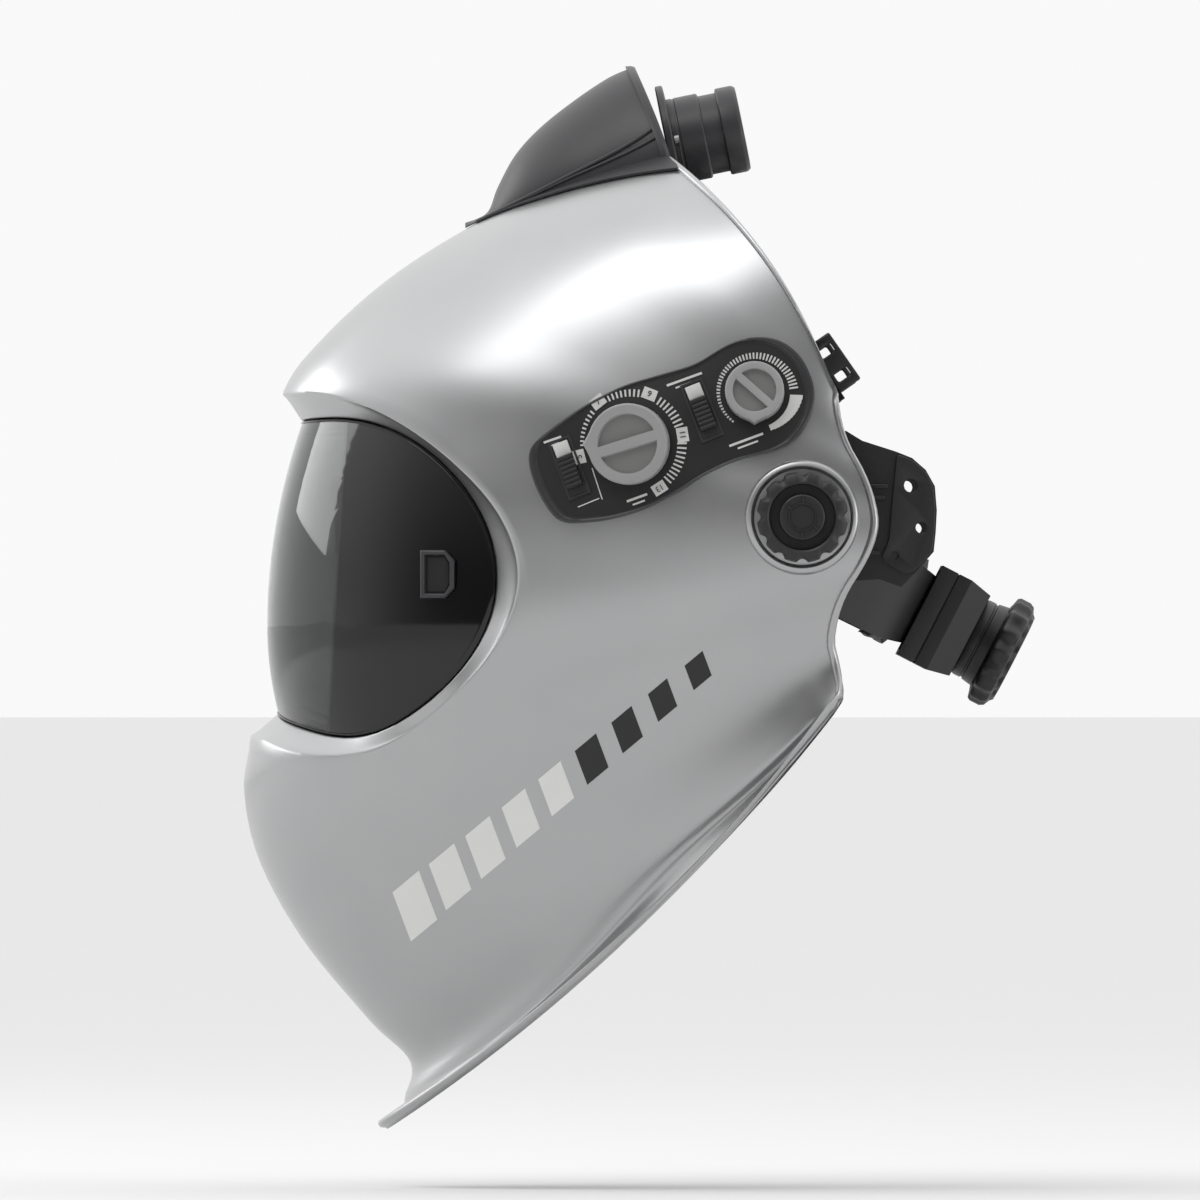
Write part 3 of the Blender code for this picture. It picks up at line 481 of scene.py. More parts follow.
def recess_coordinates():
    """Surface coordinates of the visor recess, evenly spaced from brow to chin."""
    edge = softened(resample(RECESS_EDGE, 70), 8)
    places = [locate(point) for point in edge]
    places[0] = (BROW_SLICE, 1.0)
    places[-1] = (CHIN_SLICE, 1.0)
    pts = np.array([tuple(surface(u, v)) + (u, v) for u, v in places])
    steps = np.linalg.norm(np.diff(pts[:, :3], axis=0), axis=1)
    run = np.concatenate(([0.0], np.cumsum(steps)))
    where = np.linspace(0.0, run[-1], HALF_COLUMNS)
    return [(float(np.interp(s, run, pts[:, 3])), float(np.interp(s, run, pts[:, 4]))) for s in where]


def shell_column(rim, recess, lower):
    """One run of points from the rim to the recess edge, with the groove and flare of the lower edge."""
    column = []
    start = surface(*rim)
    for row in range(SHELL_ROWS + 1):
        t = (row / SHELL_ROWS) ** 1.7
        u = rim[0] + (recess[0] - rim[0]) * t
        v = rim[1] + (recess[1] - rim[1]) * t
        point = surface(u, v)
        run = (point - start).length
        dip = GROOVE_DEPTH * math.exp(-((run - GROOVE_INSET) / GROOVE_WIDTH) ** 2)
        flare = EDGE_FLARE * math.exp(-(run / 4.5) ** 2)
        normal = surface_normal(u, v)
        if v > 0.99:
            normal.x = 0.0
        column.append(point + normal * (flare * 0.4 - dip) * lower)
    return column


def shell_rings():
    """Rings of the outer skin from the rim to the visor recess, then down its wall to the lens seat."""
    rim, recess = rim_coordinates(), recess_coordinates()
    first_lower = ARCH_COLUMNS + REAR_COLUMNS
    columns = []
    for k, (a, b) in enumerate(zip(rim, recess)):
        lower = min(max((k - first_lower + 6) / 12, 0.0), 1.0)
        columns.append(shell_column(a, b, lower))
    rings = [[column[row] for column in columns] for row in range(SHELL_ROWS + 1)]
    edge = rings[-1]
    seat = [lens_point(arc, z, 1.02, 0.6) for arc, z in resample(lens_flat(), HALF_COLUMNS)]
    before = rings[-4]
    for t in (0.04, 0.1, 0.2, 0.35, 0.5, 0.65, 0.8, 0.92, 1.0):
        ring = []
        for a, b, c in zip(edge, seat, before):
            roll = (a - c).normalized() * 2.2 * math.exp(-t * 9) * min(t * 20, 1.0)
            ring.append(a.lerp(b, t) + roll * 0.6)
        rings.append(ring)
    for scale, off in ((1.016, 0.1), (1.014, -3.0), (1.0, -3.7), (0.92, -3.7)):
        rings.append([lens_point(arc, z, scale, off) for arc, z in resample(lens_flat(), HALF_COLUMNS)])
    return [ring + mirrored(ring[-2:0:-1]) for ring in rings]


def make_shell():
    """The helmet shell with its visor recess, grooved lower edge, beaded rim and pivot bosses."""
    rings = shell_rings()
    bm = bmesh.new()
    rows = [[bm.verts.new(point) for point in ring] for ring in rings]
    for near, far in zip(rows, rows[1:]):
        for k in range(len(near)):
            after = (k + 1) % len(near)
            bm.faces.new((near[k], far[k], far[after], near[after]))
    bm.normal_update()
    shell = piece("shell_skin", bm, SILVER, "shell", ("helmet_shell",), smooth=50.0)
    apply_modifier(shell, "SOLIDIFY", thickness=SHELL_WALL * MM, offset=-1.0)
    rim = rings[0]
    bead = []
    count = len(rim)
    for k in range(count):
        ahead = (rim[(k + 1) % count] - rim[k - 1]).normalized()
        inward = (rings[2][k] - rim[k]).normalized()
        side = ahead.cross(inward).normalized()
        middle = rim[k] + inward * 0.9
        bead.append([middle + (inward * math.cos(a) * 1.5 + side * math.sin(a) * 1.7)
                     for a in np.linspace(0.0, math.tau, 9)[:-1]])
    piece("shell_rim_bead", loft(bead, loop=True), SILVER, "shell", smooth=80.0)
    for name, side in SIDES:
        bm = lathe(PIVOT_BOSS, 72, (LEFT * side, BACK, UP))
        piece(f"pivot_boss_{name}", bm, SILVER, "shell", smooth=40.0)


def make_lens():
    """The wraparound cover lens: clear in front, smoked at the sides, with its edge step."""
    scales = (0.03, 0.12, 0.22, 0.32, 0.42, 0.52, 0.62, 0.72, 0.8, 0.87, 0.93, 0.97, 0.99, 1.0)
    front = [round_the_lens(90, scale, 0.0) for scale in scales]
    back = [round_the_lens(90, scale, -LENS_WALL) for scale in reversed(scales)]
    bm = loft(front + back)
    geometry = bm.verts[:] + bm.edges[:] + bm.faces[:]
    rearward = Vector((0.0, 1.0, -TINT_BORDER_LEAN))
    bmesh.ops.bisect_plane(bm, geom=geometry, plane_co=TINT_BORDER, plane_no=rearward)
    for face in bm.faces:
        behind = (face.calc_center_median() - TINT_BORDER).dot(rearward)
        face.material_index = 1 if behind > 0 else 0
    piece("cover_lens", bm, [TINTED, SMOKED], "shell", ("front_cover_lens",), smooth=40.0)
    section = ((1.012, -2.6), (1.012, -0.2), (1.002, 0.5), (0.994, 0.35), (0.994, -2.6))
    rim = [round_the_lens(120, scale, off) for scale, off in section]
    piece("lens_edge_trim", loft(rim, loop=True), SMOKED, "shell", smooth=50.0)


CLIP_Y = -127.2
CLIP_FRAME_STEPS = ((0.0, 0.9), (0.0, 2.4), (-0.5, 3.0), (-1.3, 3.0), (-1.7, 2.5), (-1.8, 1.3))
CLIP_FACE_STEPS = ((-2.0, 0.9), (-2.0, 1.4), (-2.6, 1.7), (-4.4, 1.6))


def clip_outline(grow):
    return ((-7.0 - grow, -8.5 - grow), (-7.0 - grow, 8.5 + grow), (2.0, 8.5 + grow),
            (5.5 + grow, 5.0 + grow * 0.6), (5.5 + grow, -5.0 - grow * 0.6), (2.0, -8.5 - grow))


def clip_body(steps, side):
    """A D-shaped body on the lens from (growth of its outline, height) steps."""
    arc = math.acos((LENS_AXIS_Y - CLIP_Y) / LENS_BULGE)
    middle = lens_point(arc * LENS_BULGE, LENS_MIDDLE_Z, 1.0, 0.0)
    out = Vector((middle.x, middle.y - LENS_AXIS_Y, 0.0)).normalized()
    along = UP.cross(out)
    rings = [[middle + out * high + along * a + UP * b for a, b in clip_outline(grow)]
             for grow, high in steps]
    return loft(rings if side > 0 else [mirrored(ring) for ring in rings])


def make_clips():
    """Clips that hold the lens: a raised frame round a recessed push face."""
    for name, side in SIDES:
        body = f"lens_clip_{name}"
        face = clip_body(CLIP_FACE_STEPS, side)
        piece(f"lens_clip_face_{name}", face, BLACK_AND_GROOVE_SHADE, body, smooth=30.0)
        rim = clip_body(CLIP_FRAME_STEPS, side)
        clip = piece(f"lens_clip_frame_{name}", rim, CHARCOAL, body, (body,), smooth=30.0)
        apply_modifier(clip, "BEVEL", width=0.25 * MM, segments=2, limit_method="ANGLE")


# ---------------------------------------------------------------- hand modelling helpers

def begin(adder, **settings):
    """Adds one primitive in object mode, with nothing else selected, and returns it."""
    if bpy.context.mode != "OBJECT":
        bpy.ops.object.mode_set(mode="OBJECT")
    bpy.ops.object.select_all(action="DESELECT")
    adder(**settings)
    return bpy.context.object


def box(size, centre=(0.0, 0.0, 0.0)):
    """A cube primitive of this size and place, both applied."""
    made = begin(bpy.ops.mesh.primitive_cube_add, size=1.0, scale=size, location=centre)
    bpy.ops.object.transform_apply(location=True, scale=True)
    return made


def choose_top(made):
    """Goes into edit mode with only the upward faces selected."""
    bpy.ops.object.mode_set(mode="OBJECT")
    for vert in made.data.vertices:
        vert.select = False
    for edge in made.data.edges:
        edge.select = False
    for face in made.data.polygons:
        face.select = face.normal.z > 0.9
    bpy.ops.object.mode_set(mode="EDIT")
    bpy.ops.mesh.select_mode(type="FACE")


def carve(made, cutter):
    """Takes the cutter out of the piece and removes it."""
    bpy.ops.object.mode_set(mode="OBJECT")
    apply_modifier(made, "BOOLEAN", operation="DIFFERENCE", object=cutter, solver="EXACT")
    bpy.data.objects.remove(cutter, do_unlink=True)


def settle(made, name, place, look, body, replaces=(), smooth=30.0):
    """Moves a millimetre piece to its place, with the object itself left at the origin."""
    if bpy.context.mode != "OBJECT":
        bpy.ops.object.mode_set(mode="OBJECT")
    made.data.transform(Matrix.Scale(MM, 4) @ place @ made.matrix_world)
    made.matrix_world = Matrix.Identity(4)
    made.name = name
    made.data.name = name
    made.data.materials.clear()
    for finish in (look if isinstance(look, (list, tuple)) else [look]):
        made.data.materials.append(finish)
    made.data.shade_smooth()
    made.data.set_sharp_from_angle(angle=math.radians(smooth))
    return enrol(made, body, replaces)


# ---------------------------------------------------------------- control panel

SHADE_SPOT = (-59.8, 25.4)
SENSITIVITY_SPOT = (-16.5, 43.0)
SWITCH_SPOTS = {"mode_switch": (-80.6, 15.4), "range_switch": (-34.3, 35.4)}
PANEL_SCALES = (
    (1.0, 0.4), (1.0, 1.6), (0.995, 2.6), (0.985, 3.2), (0.968, 3.35), (0.955, 3.2), (0.945, 2.7),
    (0.935, 2.65), (0.9, 2.65), (0.8, 2.7), (0.65, 2.75), (0.5, 2.8), (0.35, 2.8), (0.2, 2.8), (0.06, 2.8),
)
BORDER_RINGS = 7


def panel_outline(count=140):
    return softened(resample(PANEL_EDGE + (PANEL_EDGE[0],), count + 1)[:-1], 8, closed=True)


def make_panel():
    """The control panel: a satin raised border round a black face that follows the shell."""
    outline = panel_outline()
    middle = outline.mean(axis=0)

    def ring(scale, off):
        return [side_point(*(middle + (point - middle) * scale), off) for point in outline]

    rings = [ring(scale, off) for scale, off in PANEL_SCALES]
    bottom = [ring(0.97, 0.4), ring(0.2, 0.4)]
    bm = loft(bottom[::-1] + rings)
    bm.faces.ensure_lookup_table()
    count = len(outline)
    for index, face in enumerate(bm.faces):
        row = index // count
        face.material_index = 0 if row < BORDER_RINGS + 2 else 1
    looks = [PANEL_BORDER, PANEL_BLACK]
    piece("panel_body", bm, looks, "shell", ("control_panel",), smooth=35.0)


def patch(bm, corners, low, high, cells):
    """A thin printed patch on the shell between four y, z corners, split so that it follows the curve."""
    a, b, c, d = [np.array(corner, dtype=float) for corner in corners]
    across, down = cells
    skins = []
    for off in (low, high):
        rows = []
        for i in range(down + 1):
            s = i / down
            left, right = a + (d - a) * s, b + (c - b) * s
            rows.append([bm.verts.new(side_point(*(left + (right - left) * j / across), off))
                         for j in range(across + 1)])
        skins.append(rows)
    for side, rows in enumerate(skins):
        for i in range(down):
            for j in range(across):
                quad = [rows[i][j], rows[i][j + 1], rows[i + 1][j + 1], rows[i + 1][j]]
                bm.faces.new(quad if side else quad[::-1])
    low_rows, high_rows = skins
    loop = [(0, j) for j in range(across)] + [(i, across) for i in range(down)]
    loop += [(down, j) for j in range(across, 0, -1)] + [(i, 0) for i in range(down, 0, -1)]
    for k, (i, j) in enumerate(loop):
        m, n = loop[(k + 1) % len(loop)]
        bm.faces.new((low_rows[i][j], low_rows[m][n], high_rows[m][n], high_rows[i][j]))


PRINT_LOW = 2.7
PRINT_HIGH = 2.95


def polar(spot, angle, reach):
    """The y, z place at an angle in degrees and a distance from a spot."""
    turn = math.radians(angle)
    return spot[0] + reach * math.cos(turn), spot[1] + reach * math.sin(turn)


def bar(bm, y, z, length, width, angle):
    """One printed bar on the panel, centred at y, z and turned by an angle in degrees."""
    turn = math.radians(angle)
    along = np.array((math.cos(turn), math.sin(turn)))
    up = np.array((-math.sin(turn), math.cos(turn)))
    centre = np.array((y, z))
    corners = [centre + along * length / 2 * a + up * width / 2 * b
               for a, b in ((-1, 1), (1, 1), (1, -1), (-1, -1))]
    patch(bm, corners, PRINT_LOW, PRINT_HIGH, (1, 1))


SHADE_TABS = ((194, "5"), (128, "7"), (69, "9"), (10, "11"), (-57, "13"))
TAB_REACH = 18.4
CAPTION_BARS = ((-87.0, 27.0, 6.5), (-41.0, 47.8, 13.0), (-57.6, 6.6, 7.5), (-19.5, 26.8, 12.5))


def make_prints():
    """Printed scales: tick rings round both dials, number tabs, plain bars where captions would be."""
    bm = bmesh.new()
    for k in range(49):
        angle = 186 - k * 5
        if any(abs(angle - spot) < 9 for spot, _ in SHADE_TABS):
            continue
        length = 1.1 + 2.2 * min(k / 30, 1.0)
        bar(bm, *polar(SHADE_SPOT, angle, 16.3 + length / 2), length, 0.62, angle)
    for k in range(44):
        angle = 232 - k * 5.2
        length = 0.7 + 2.3 * (k / 43)
        bar(bm, *polar(SENSITIVITY_SPOT, angle, 12.1 + length / 2), length, 0.6, angle)
    for k in range(12):
        first, second = -2 - k * 5.4, -2 - (k + 1) * 5.4
        inner, outer = 12.2, 16.6 - 0.22 * k
        corners = [polar(SENSITIVITY_SPOT, angle, reach)
                   for angle, reach in ((first, inner), (first, outer), (second, outer), (second, inner))]
        patch(bm, corners, PRINT_LOW, PRINT_HIGH, (1, 1))
    for angle, _ in SHADE_TABS:
        bar(bm, *polar(SHADE_SPOT, angle, TAB_REACH), 5.0, 4.0, angle - 90)
    for y, z, length in CAPTION_BARS:
        bar(bm, y, z, length, 0.8, 20)
        bar(bm, y + 0.6, z - 1.7, length * 0.6, 0.6, 20)
    for y, z, length, angle in ((-74.5, 4.9, 8.0, 22), (-71.5, 11.5, 11.5, 108)):
        bar(bm, y, z, length, 0.35, angle)
    bmesh.ops.recalc_face_normals(bm, faces=bm.faces)
    piece("panel_scales", bm, INK, "shell", smooth=30.0)
    for angle, digits in SHADE_TABS:
        make_number(digits, angle)


def make_number(digits, angle):
    """A dark number standing on its pale tab beside the shade dial."""
    text = begin(bpy.ops.object.text_add)
    text.data.body = digits
    text.data.size = 3.0
    text.data.align_x = "CENTER"
    text.data.align_y = "CENTER"
    text.data.extrude = 0.08
    text.data.resolution_u = 3
    bpy.ops.object.convert(target="MESH")
    text = bpy.context.object
    text.data.transform(Matrix.Rotation(math.radians(angle - 90), 4, "Z"))
    place = side_frame(*polar(SHADE_SPOT, angle, TAB_REACH), 3.05)
    settle(text, f"shade_number_{digits}", place, DARK_INK, "shell")


def dial(name, radius, height, sides, bar_turn, pointer, spot):
    """A dial turned from a cylinder: chamfered top, pointer nib, and two D pockets split by a finger bar."""
    made = begin(bpy.ops.mesh.primitive_cylinder_add, vertices=sides, radius=radius, depth=height,
                 location=(0.0, 0.0, height / 2 + 0.9))
    for vert in made.data.vertices:
        angle = math.degrees(math.atan2(vert.co.y, vert.co.x))
        near = abs((angle - pointer + 180) % 360 - 180)
        if near < 13:
            vert.co.x *= 1.0 + 0.12 * (1 - near / 13)
            vert.co.y *= 1.0 + 0.12 * (1 - near / 13)
    choose_top(made)
    bpy.ops.mesh.inset(thickness=0.5, depth=0.0)
    bpy.ops.transform.translate(value=(0.0, 0.0, 0.6))
    bpy.ops.mesh.inset(thickness=0.9, depth=0.0)
    for sign in (1.0, -1.0):
        pocket = begin(bpy.ops.mesh.primitive_cylinder_add, vertices=48, radius=radius * 0.74, depth=4.0,
                       location=(0.0, 0.0, height + 1.9))
        bpy.ops.object.mode_set(mode="EDIT")
        bpy.ops.mesh.select_all(action="SELECT")
        across = math.radians(bar_turn)
        normal = Vector((-math.sin(across), math.cos(across), 0.0)) * sign
        edge = normal * radius * 0.13
        bpy.ops.mesh.bisect(plane_co=edge, plane_no=normal, use_fill=True, clear_inner=True)
        carve(made, pocket)
    apply_modifier(made, "BEVEL", width=0.22, segments=2, limit_method="ANGLE", angle_limit=math.radians(35))
    place = side_frame(*spot, PANEL_LIFT - 0.3)
    settle(made, f"{name}_body", place, [DIAL_GREY, DIAL_POCKET_SHADE], name, (name,), smooth=32.0)
    # The pocket floors take the darker grey: painted shade in the pockets.
    out = side_frame(*spot).to_3x3().col[2]
    foot = min(face.center.dot(out) for face in made.data.polygons)
    tops = [face for face in made.data.polygons if face.normal.dot(out) > 0.95]
    crest = max(face.center.dot(out) for face in tops)
    for face in tops:
        if foot + 2.0 * MM < face.center.dot(out) < crest - 0.8 * MM:
            face.material_index = 1


def make_switch(name, spot):
    """A slide switch: a dished slot, a printed mark and a ribbed slider."""
    lean = Matrix.Rotation(PANEL_TILT, 4, "Z")
    place = side_frame(*spot, PANEL_LIFT - 0.25) @ lean
    slot = box((8.4, 22.0, 0.7), (0.0, 1.8, -0.25))
    choose_top(slot)
    bpy.ops.mesh.inset(thickness=0.8, depth=0.0)
    bpy.ops.mesh.inset(thickness=0.25, depth=-0.3)
    settle(slot, f"{name}_slot", place, PANEL_BORDER, "shell")
    mark = box((5.6, 5.0, 0.7), (0.0, 8.9, 0.4))
    apply_modifier(mark, "BEVEL", width=0.3, segments=2)
    settle(mark, f"{name}_mark", place, INK, "shell")
    slider = box((5.8, 11.6, 2.2), (0.0, 0.0, 2.0))
    choose_top(slider)
    bpy.ops.mesh.inset(thickness=0.6, depth=0.0)
    for k in range(6):
        carve(slider, box((7.0, 0.7, 1.2), (0.0, -4.2 + k * 1.68, 3.2)))
    apply_modifier(slider, "BEVEL", width=0.18, segments=2, limit_method="ANGLE")
    place = side_frame(*spot, PANEL_LIFT) @ lean
    settle(slider, f"{name}_slider", place, NYLON, name, (name,))


def make_controls():
    dial("shade_knob", 14.3, 5.2, 40, 17.0, 180.0, SHADE_SPOT)
    dial("sensitivity_knob", 10.4, 4.6, 36, -42.0, -90.0, SENSITIVITY_SPOT)
    for name, spot in SWITCH_SPOTS.items():
        make_switch(name, spot)


STRIPE_START = np.array((-141.0, -141.0))
STRIPE_END = np.array((-27.0, -46.0))
STRIPE_COUNT = 9


def make_stripe():
    """A plain row of slanted bars along the cheek, pale at the chin and black towards the ear."""
    along = STRIPE_END - STRIPE_START
    step = along / STRIPE_COUNT
    ahead = along / np.linalg.norm(along)
    up = np.array((-ahead[1], ahead[0]))
    lean = ahead * 0.35
    for name, look, picks in (("pale", PALE_INK, range(5)), ("dark", DARK_INK, range(5, STRIPE_COUNT))):
        bm = bmesh.new()
        for k in picks:
            base = STRIPE_START + step * k
            tall = 17.5 - 1.1 * k
            wide = step * (0.74 - 0.03 * k)
            high_side = up * tall / 2 + lean * tall / 2
            corners = [base + high_side, base + wide + high_side, base + wide - high_side, base - high_side]
            patch(bm, corners, 0.02, 0.12, (5, 6))
        bmesh.ops.recalc_face_normals(bm, faces=bm.faces)
        piece(f"cheek_stripe_{name}", bm, look, "shell", smooth=60.0)


# ---------------------------------------------------------------- air duct

HOOD_STEPS = 44
HOOD_SPREAD = 40
SKIRT_DROP = 13.0


def hood_station(t):
    """The hood's station at 0 to 1 from its front tip to its rear face."""
    return on_curve(HOOD_STATIONS, t * (len(HOOD_STATIONS) - 1))


def crown_foot(u, x, off):
    """A point on the crown of the shell at a side distance x, lifted off it."""
    v = crown_v(u, x)
    foot = surface(u, v)
    normal = surface_normal(u, v)
    normal.x = math.copysign(normal.x, x)
    return Vector((x, foot.y, foot.z)) + normal * off


def hood_point(t, side, grow=0.0, off=0.7):
    """A point of the hood's skin; side runs from -1 to 1 across the arch."""
    u, crest_y, crest_z, half_width = hood_station(t)
    half_width += grow
    lift = Vector((0.0, crest_y, crest_z)) - surface(u, 1.0)
    x = half_width * math.sin(side * math.pi / 2)
    rise = max(1 - (x / half_width) ** 2, 0.0) ** 0.6
    return crown_foot(u, x, off) + lift * rise * (1 + grow / 60)


def skirt_point(t, x, off):
    """A point of the skirt that wraps the shell beside the hood's foot."""
    return crown_foot(hood_station(t)[0], x, off)


def rod(path, radius, sides=8):
    """A round bead swept along a path."""
    rings = []
    for k, point in enumerate(path):
        before = path[max(k - 1, 0)]
        after = path[min(k + 1, len(path) - 1)]
        ahead = (after - before).normalized()
        side = ahead.cross(UP if abs(ahead.z) < 0.9 else LEFT).normalized()
        other = ahead.cross(side)
        rings.append([point + (side * math.cos(a) + other * math.sin(a)) * radius
                      for a in np.linspace(0.0, math.tau, sides + 1)[:-1]])
    return loft(rings)


def make_hood():
    """The moulded air hood: a dome with a skirt line and a beaded foot along the shell."""
    rings = []
    for k in range(HOOD_STEPS + 1):
        t = k / HOOD_STEPS
        arch = [hood_point(t, -1 + 2 * j / HOOD_SPREAD) for j in range(HOOD_SPREAD + 1)]
        base = [crown_foot(hood_station(t)[0], point.x * 0.98, 0.4) for point in arch[-2:0:-1]]
        rings.append(arch + base)
    piece("duct_dome", loft(rings), CHARCOAL, "shell", ("duct_hood",), smooth=40.0)
    rear = rings[-1]
    middle = Vector((0.0, -53.0, 146.0))
    lip = [[point.lerp(middle, pull) + Vector((0.0, back, 0.0)) for point in rear]
           for pull, back in ((-0.035, -2.0), (-0.045, 0.0), (-0.02, 1.2), (0.1, 1.0), (0.1, -0.5))]
    piece("duct_rear_lip", loft(lip, loop=True), CHARCOAL, "shell", smooth=40.0)
    flank = []
    for k in range(6, HOOD_STEPS + 1):
        t = k / HOOD_STEPS
        half_width = hood_station(t)[3]
        drop = SKIRT_DROP * t ** 1.6
        inner = [half_width * 0.9 + (drop + half_width * 0.1) * j / 6 for j in range(7)]
        outside = [skirt_point(t, x, 0.9 + 1.5 * t - 1.1 * t * j / 6) for j, x in enumerate(inner)]
        inside = [skirt_point(t, x, 0.35) for x in reversed(inner)]
        flank.append(outside + inside)
    for name, rows in (("left", flank), ("right", [mirrored(row) for row in flank])):
        piece(f"duct_skirt_{name}", loft(rows), CHARCOAL, "shell", smooth=50.0)
    for name, low, width in (("upper", 0.30, 0.75), ("lower", 0.23, 0.6)):
        path = [hood_point(k / HOOD_STEPS, 1.0 - low * (k / HOOD_STEPS) ** 1.3, grow=0.25)
                for k in range(5, HOOD_STEPS + 1)]
        for side, points in (("left", path), ("right", mirrored(path))):
            bead = rod(points, width)
            piece(f"duct_bead_{name}_{side}", bead, CHARCOAL, "shell", smooth=60.0)


INLET_TUBE = (
    (14.9, 0.4), (15.25, 0.8), (15.25, 5.0), (15.0, 5.3), (15.0, 5.9), (15.25, 6.2), (15.25, 14.0),
    (14.9, 14.5), (14.15, 14.7), (14.15, 20.8), (15.2, 21.0), (15.55, 21.4), (15.55, 26.6), (15.3, 27.4),
    (14.6, 28.2), (13.0, 28.3), (12.7, 28.0), (12.6, 20.0), (12.6, 0.4),
)
INLET_FLANGE = ((15.6, 0.4), (20.2, 0.4), (20.5, 0.8), (20.5, 2.6), (20.0, 3.1), (17.0, 3.3), (15.6, 3.3))


def make_inlet():
    """The hose spigot and the flange ring it stands in, both turned about the inlet's axis."""
    axis = Vector((0.0, math.cos(TUBE_RISE), math.sin(TUBE_RISE)))
    axes = (axis, LEFT, LEFT.cross(axis))
    tube = lathe(INLET_TUBE, 72, axes, TUBE_START)
    piece("inlet_spigot", tube, CHARCOAL, "inlet_tube", ("inlet_tube",), smooth=30.0)
    flange = lathe(INLET_FLANGE, 72, axes, TUBE_START)
    piece("inlet_flange_ring", flange, CHARCOAL, "shell", ("inlet_flange",), smooth=30.0)


# ---------------------------------------------------------------- pivots

PIVOT_GRIP = ((3.0, 110.9), (15.2, 110.9), (16.0, 111.8), (16.0, 117.2), (15.5, 118.6), (14.3, 119.4),
              (12.4, 119.8), (11.7, 119.4), (11.5, 116.4), (3.0, 116.4))
PIVOT_GROOVE_SHADE = ((11.4, 116.5), (11.4, 117.0), (8.3, 117.0), (8.3, 116.5))
PIVOT_RIB_ANGLES = (88, 142, 268, 324)


def pivot_lobes(angle):
    bite = max(math.cos(12 * angle) - 0.1, 0.0) / 0.9
    return 1.0 - 0.085 * bite ** 0.8


def pivot_cap():
    """The dished disc in the middle of a pivot knob, pointing up."""
    cap = begin(bpy.ops.mesh.primitive_cylinder_add, vertices=64, radius=7.9, depth=3.6,
                location=(0.0, 0.0, 118.4))
    bpy.ops.object.transform_apply(location=True)
    choose_top(cap)
    bpy.ops.mesh.inset(thickness=0.5, depth=0.0)
    bpy.ops.transform.translate(value=(0.0, 0.0, 0.4))
    for thickness, depth in ((2.3, 0.0), (0.15, 0.7), (0.5, 0.0), (0.2, -0.7)):
        bpy.ops.mesh.inset(thickness=thickness, depth=depth)
    return cap


def make_pivots():
    """Twelve-lobed pivot knobs with a black ring of painted shade in the groove, a dished disc and a ribbed
    centre.
    """
    for name, side in SIDES:
        body = f"pivot_knob_{name}"
        axes = (LEFT * side, BACK, UP)
        grip = lathe(PIVOT_GRIP, 288, axes, lobes=pivot_lobes, lobed_from=13.0)
        piece(f"pivot_grip_{name}", grip, NYLON, body, (body,), smooth=35.0)
        # A black ring on the groove floor: painted shade in the knob's groove.
        ring = lathe(PIVOT_GROOVE_SHADE, 96, axes)
        piece(f"pivot_ring_{name}", ring, BLACK_AND_GROOVE_SHADE, body, smooth=35.0)
        turn = Matrix.Rotation(side * math.pi / 2, 4, "Y")
        settle(pivot_cap(), f"pivot_cap_{name}", turn, NYLON, body, (f"knob_cap_{name}",))
        for k, angle in enumerate(PIVOT_RIB_ANGLES):
            rib = box((2.8, 0.8, 1.0), (6.3, 0.0, 120.7))
            apply_modifier(rib, "BEVEL", width=0.2, segments=2)
            spoke = Matrix.Rotation(math.radians(angle), 4, "X")
            place = spoke @ turn @ Matrix.Rotation(-side * math.pi / 2, 4, "Z")
            settle(rib, f"pivot_rib_{name}_{k}", place, NYLON, body)


# ---------------------------------------------------------------- headgear

def ring_place(rise, back):
    """A frame at the rear of the head ring: local x across, y up along the ring's axis, z backwards."""
    turn = Matrix((LEFT, HEAD_UP, -HEAD_AHEAD)).transposed().to_4x4()
    spot = RING_CENTRE + HEAD_UP * rise - HEAD_AHEAD * back
    return Matrix.Translation(spot) @ turn


RATCHET_GRIP = (
    (0.2, 0.0), (14.3, 0.0), (14.6, 0.8), (14.6, 3.2), (14.2, 3.5), (14.2, 4.0), (14.8, 4.3), (15.4, 8.0),
    (17.2, 8.6), (19.6, 9.2), (20.3, 10.2), (20.3, 14.0), (19.4, 15.6), (17.2, 16.6), (16.2, 17.6),
    (13.0, 17.8), (11.5, 16.4), (0.2, 16.0),
)


def ratchet_lobes(angle):
    return 1.0 - 0.06 * (0.5 - 0.5 * math.cos(16 * angle)) ** 0.8


def make_ratchet():
    """The ratchet: a rounded cover with a parting line, a stepped collar and a flanged finger knob."""
    cover = box((67.6, 35.4, 11.7), (0.0, 0.0, 3.25))
    choose_top(cover)
    bpy.ops.mesh.extrude_region_move(TRANSFORM_OT_translate={"value": (0.0, 0.0, 8.3)})
    bpy.ops.transform.resize(value=(0.78, 0.9, 1.0))
    bpy.ops.mesh.inset(thickness=2.0, depth=0.0)
    bpy.ops.mesh.inset(thickness=0.6, depth=-0.7)
    seam = box((80.0, 60.0, 0.5), (0.0, 0.0, 4.0))
    carve(seam, box((66.0, 33.0, 3.0), (0.0, 0.0, 4.0)))
    carve(cover, seam)
    mouth = box((63.6, 31.4, 13.2), (0.0, 0.0, 1.6))
    carve(cover, mouth)
    apply_modifier(cover, "BEVEL", width=1.6, segments=4, limit_method="ANGLE", angle_limit=math.radians(50))
    place = ring_place(RATCHET_RISE, 103.6)
    settle(cover, "ratchet_cover", place, NYLON, "ratchet", ("ratchet_housing",),
           smooth=35.0)
    grip = lathe(RATCHET_GRIP, 192, (UP, LEFT, BACK), lobes=ratchet_lobes, lobed_from=17.0)
    bmesh.ops.transform(grip, verts=grip.verts, matrix=ring_place(RATCHET_RISE, 121.3))
    grip.normal_update()
    piece("ratchet_grip", grip, NYLON, "ratchet_knob", ("ratchet_knob",), smooth=35.0)


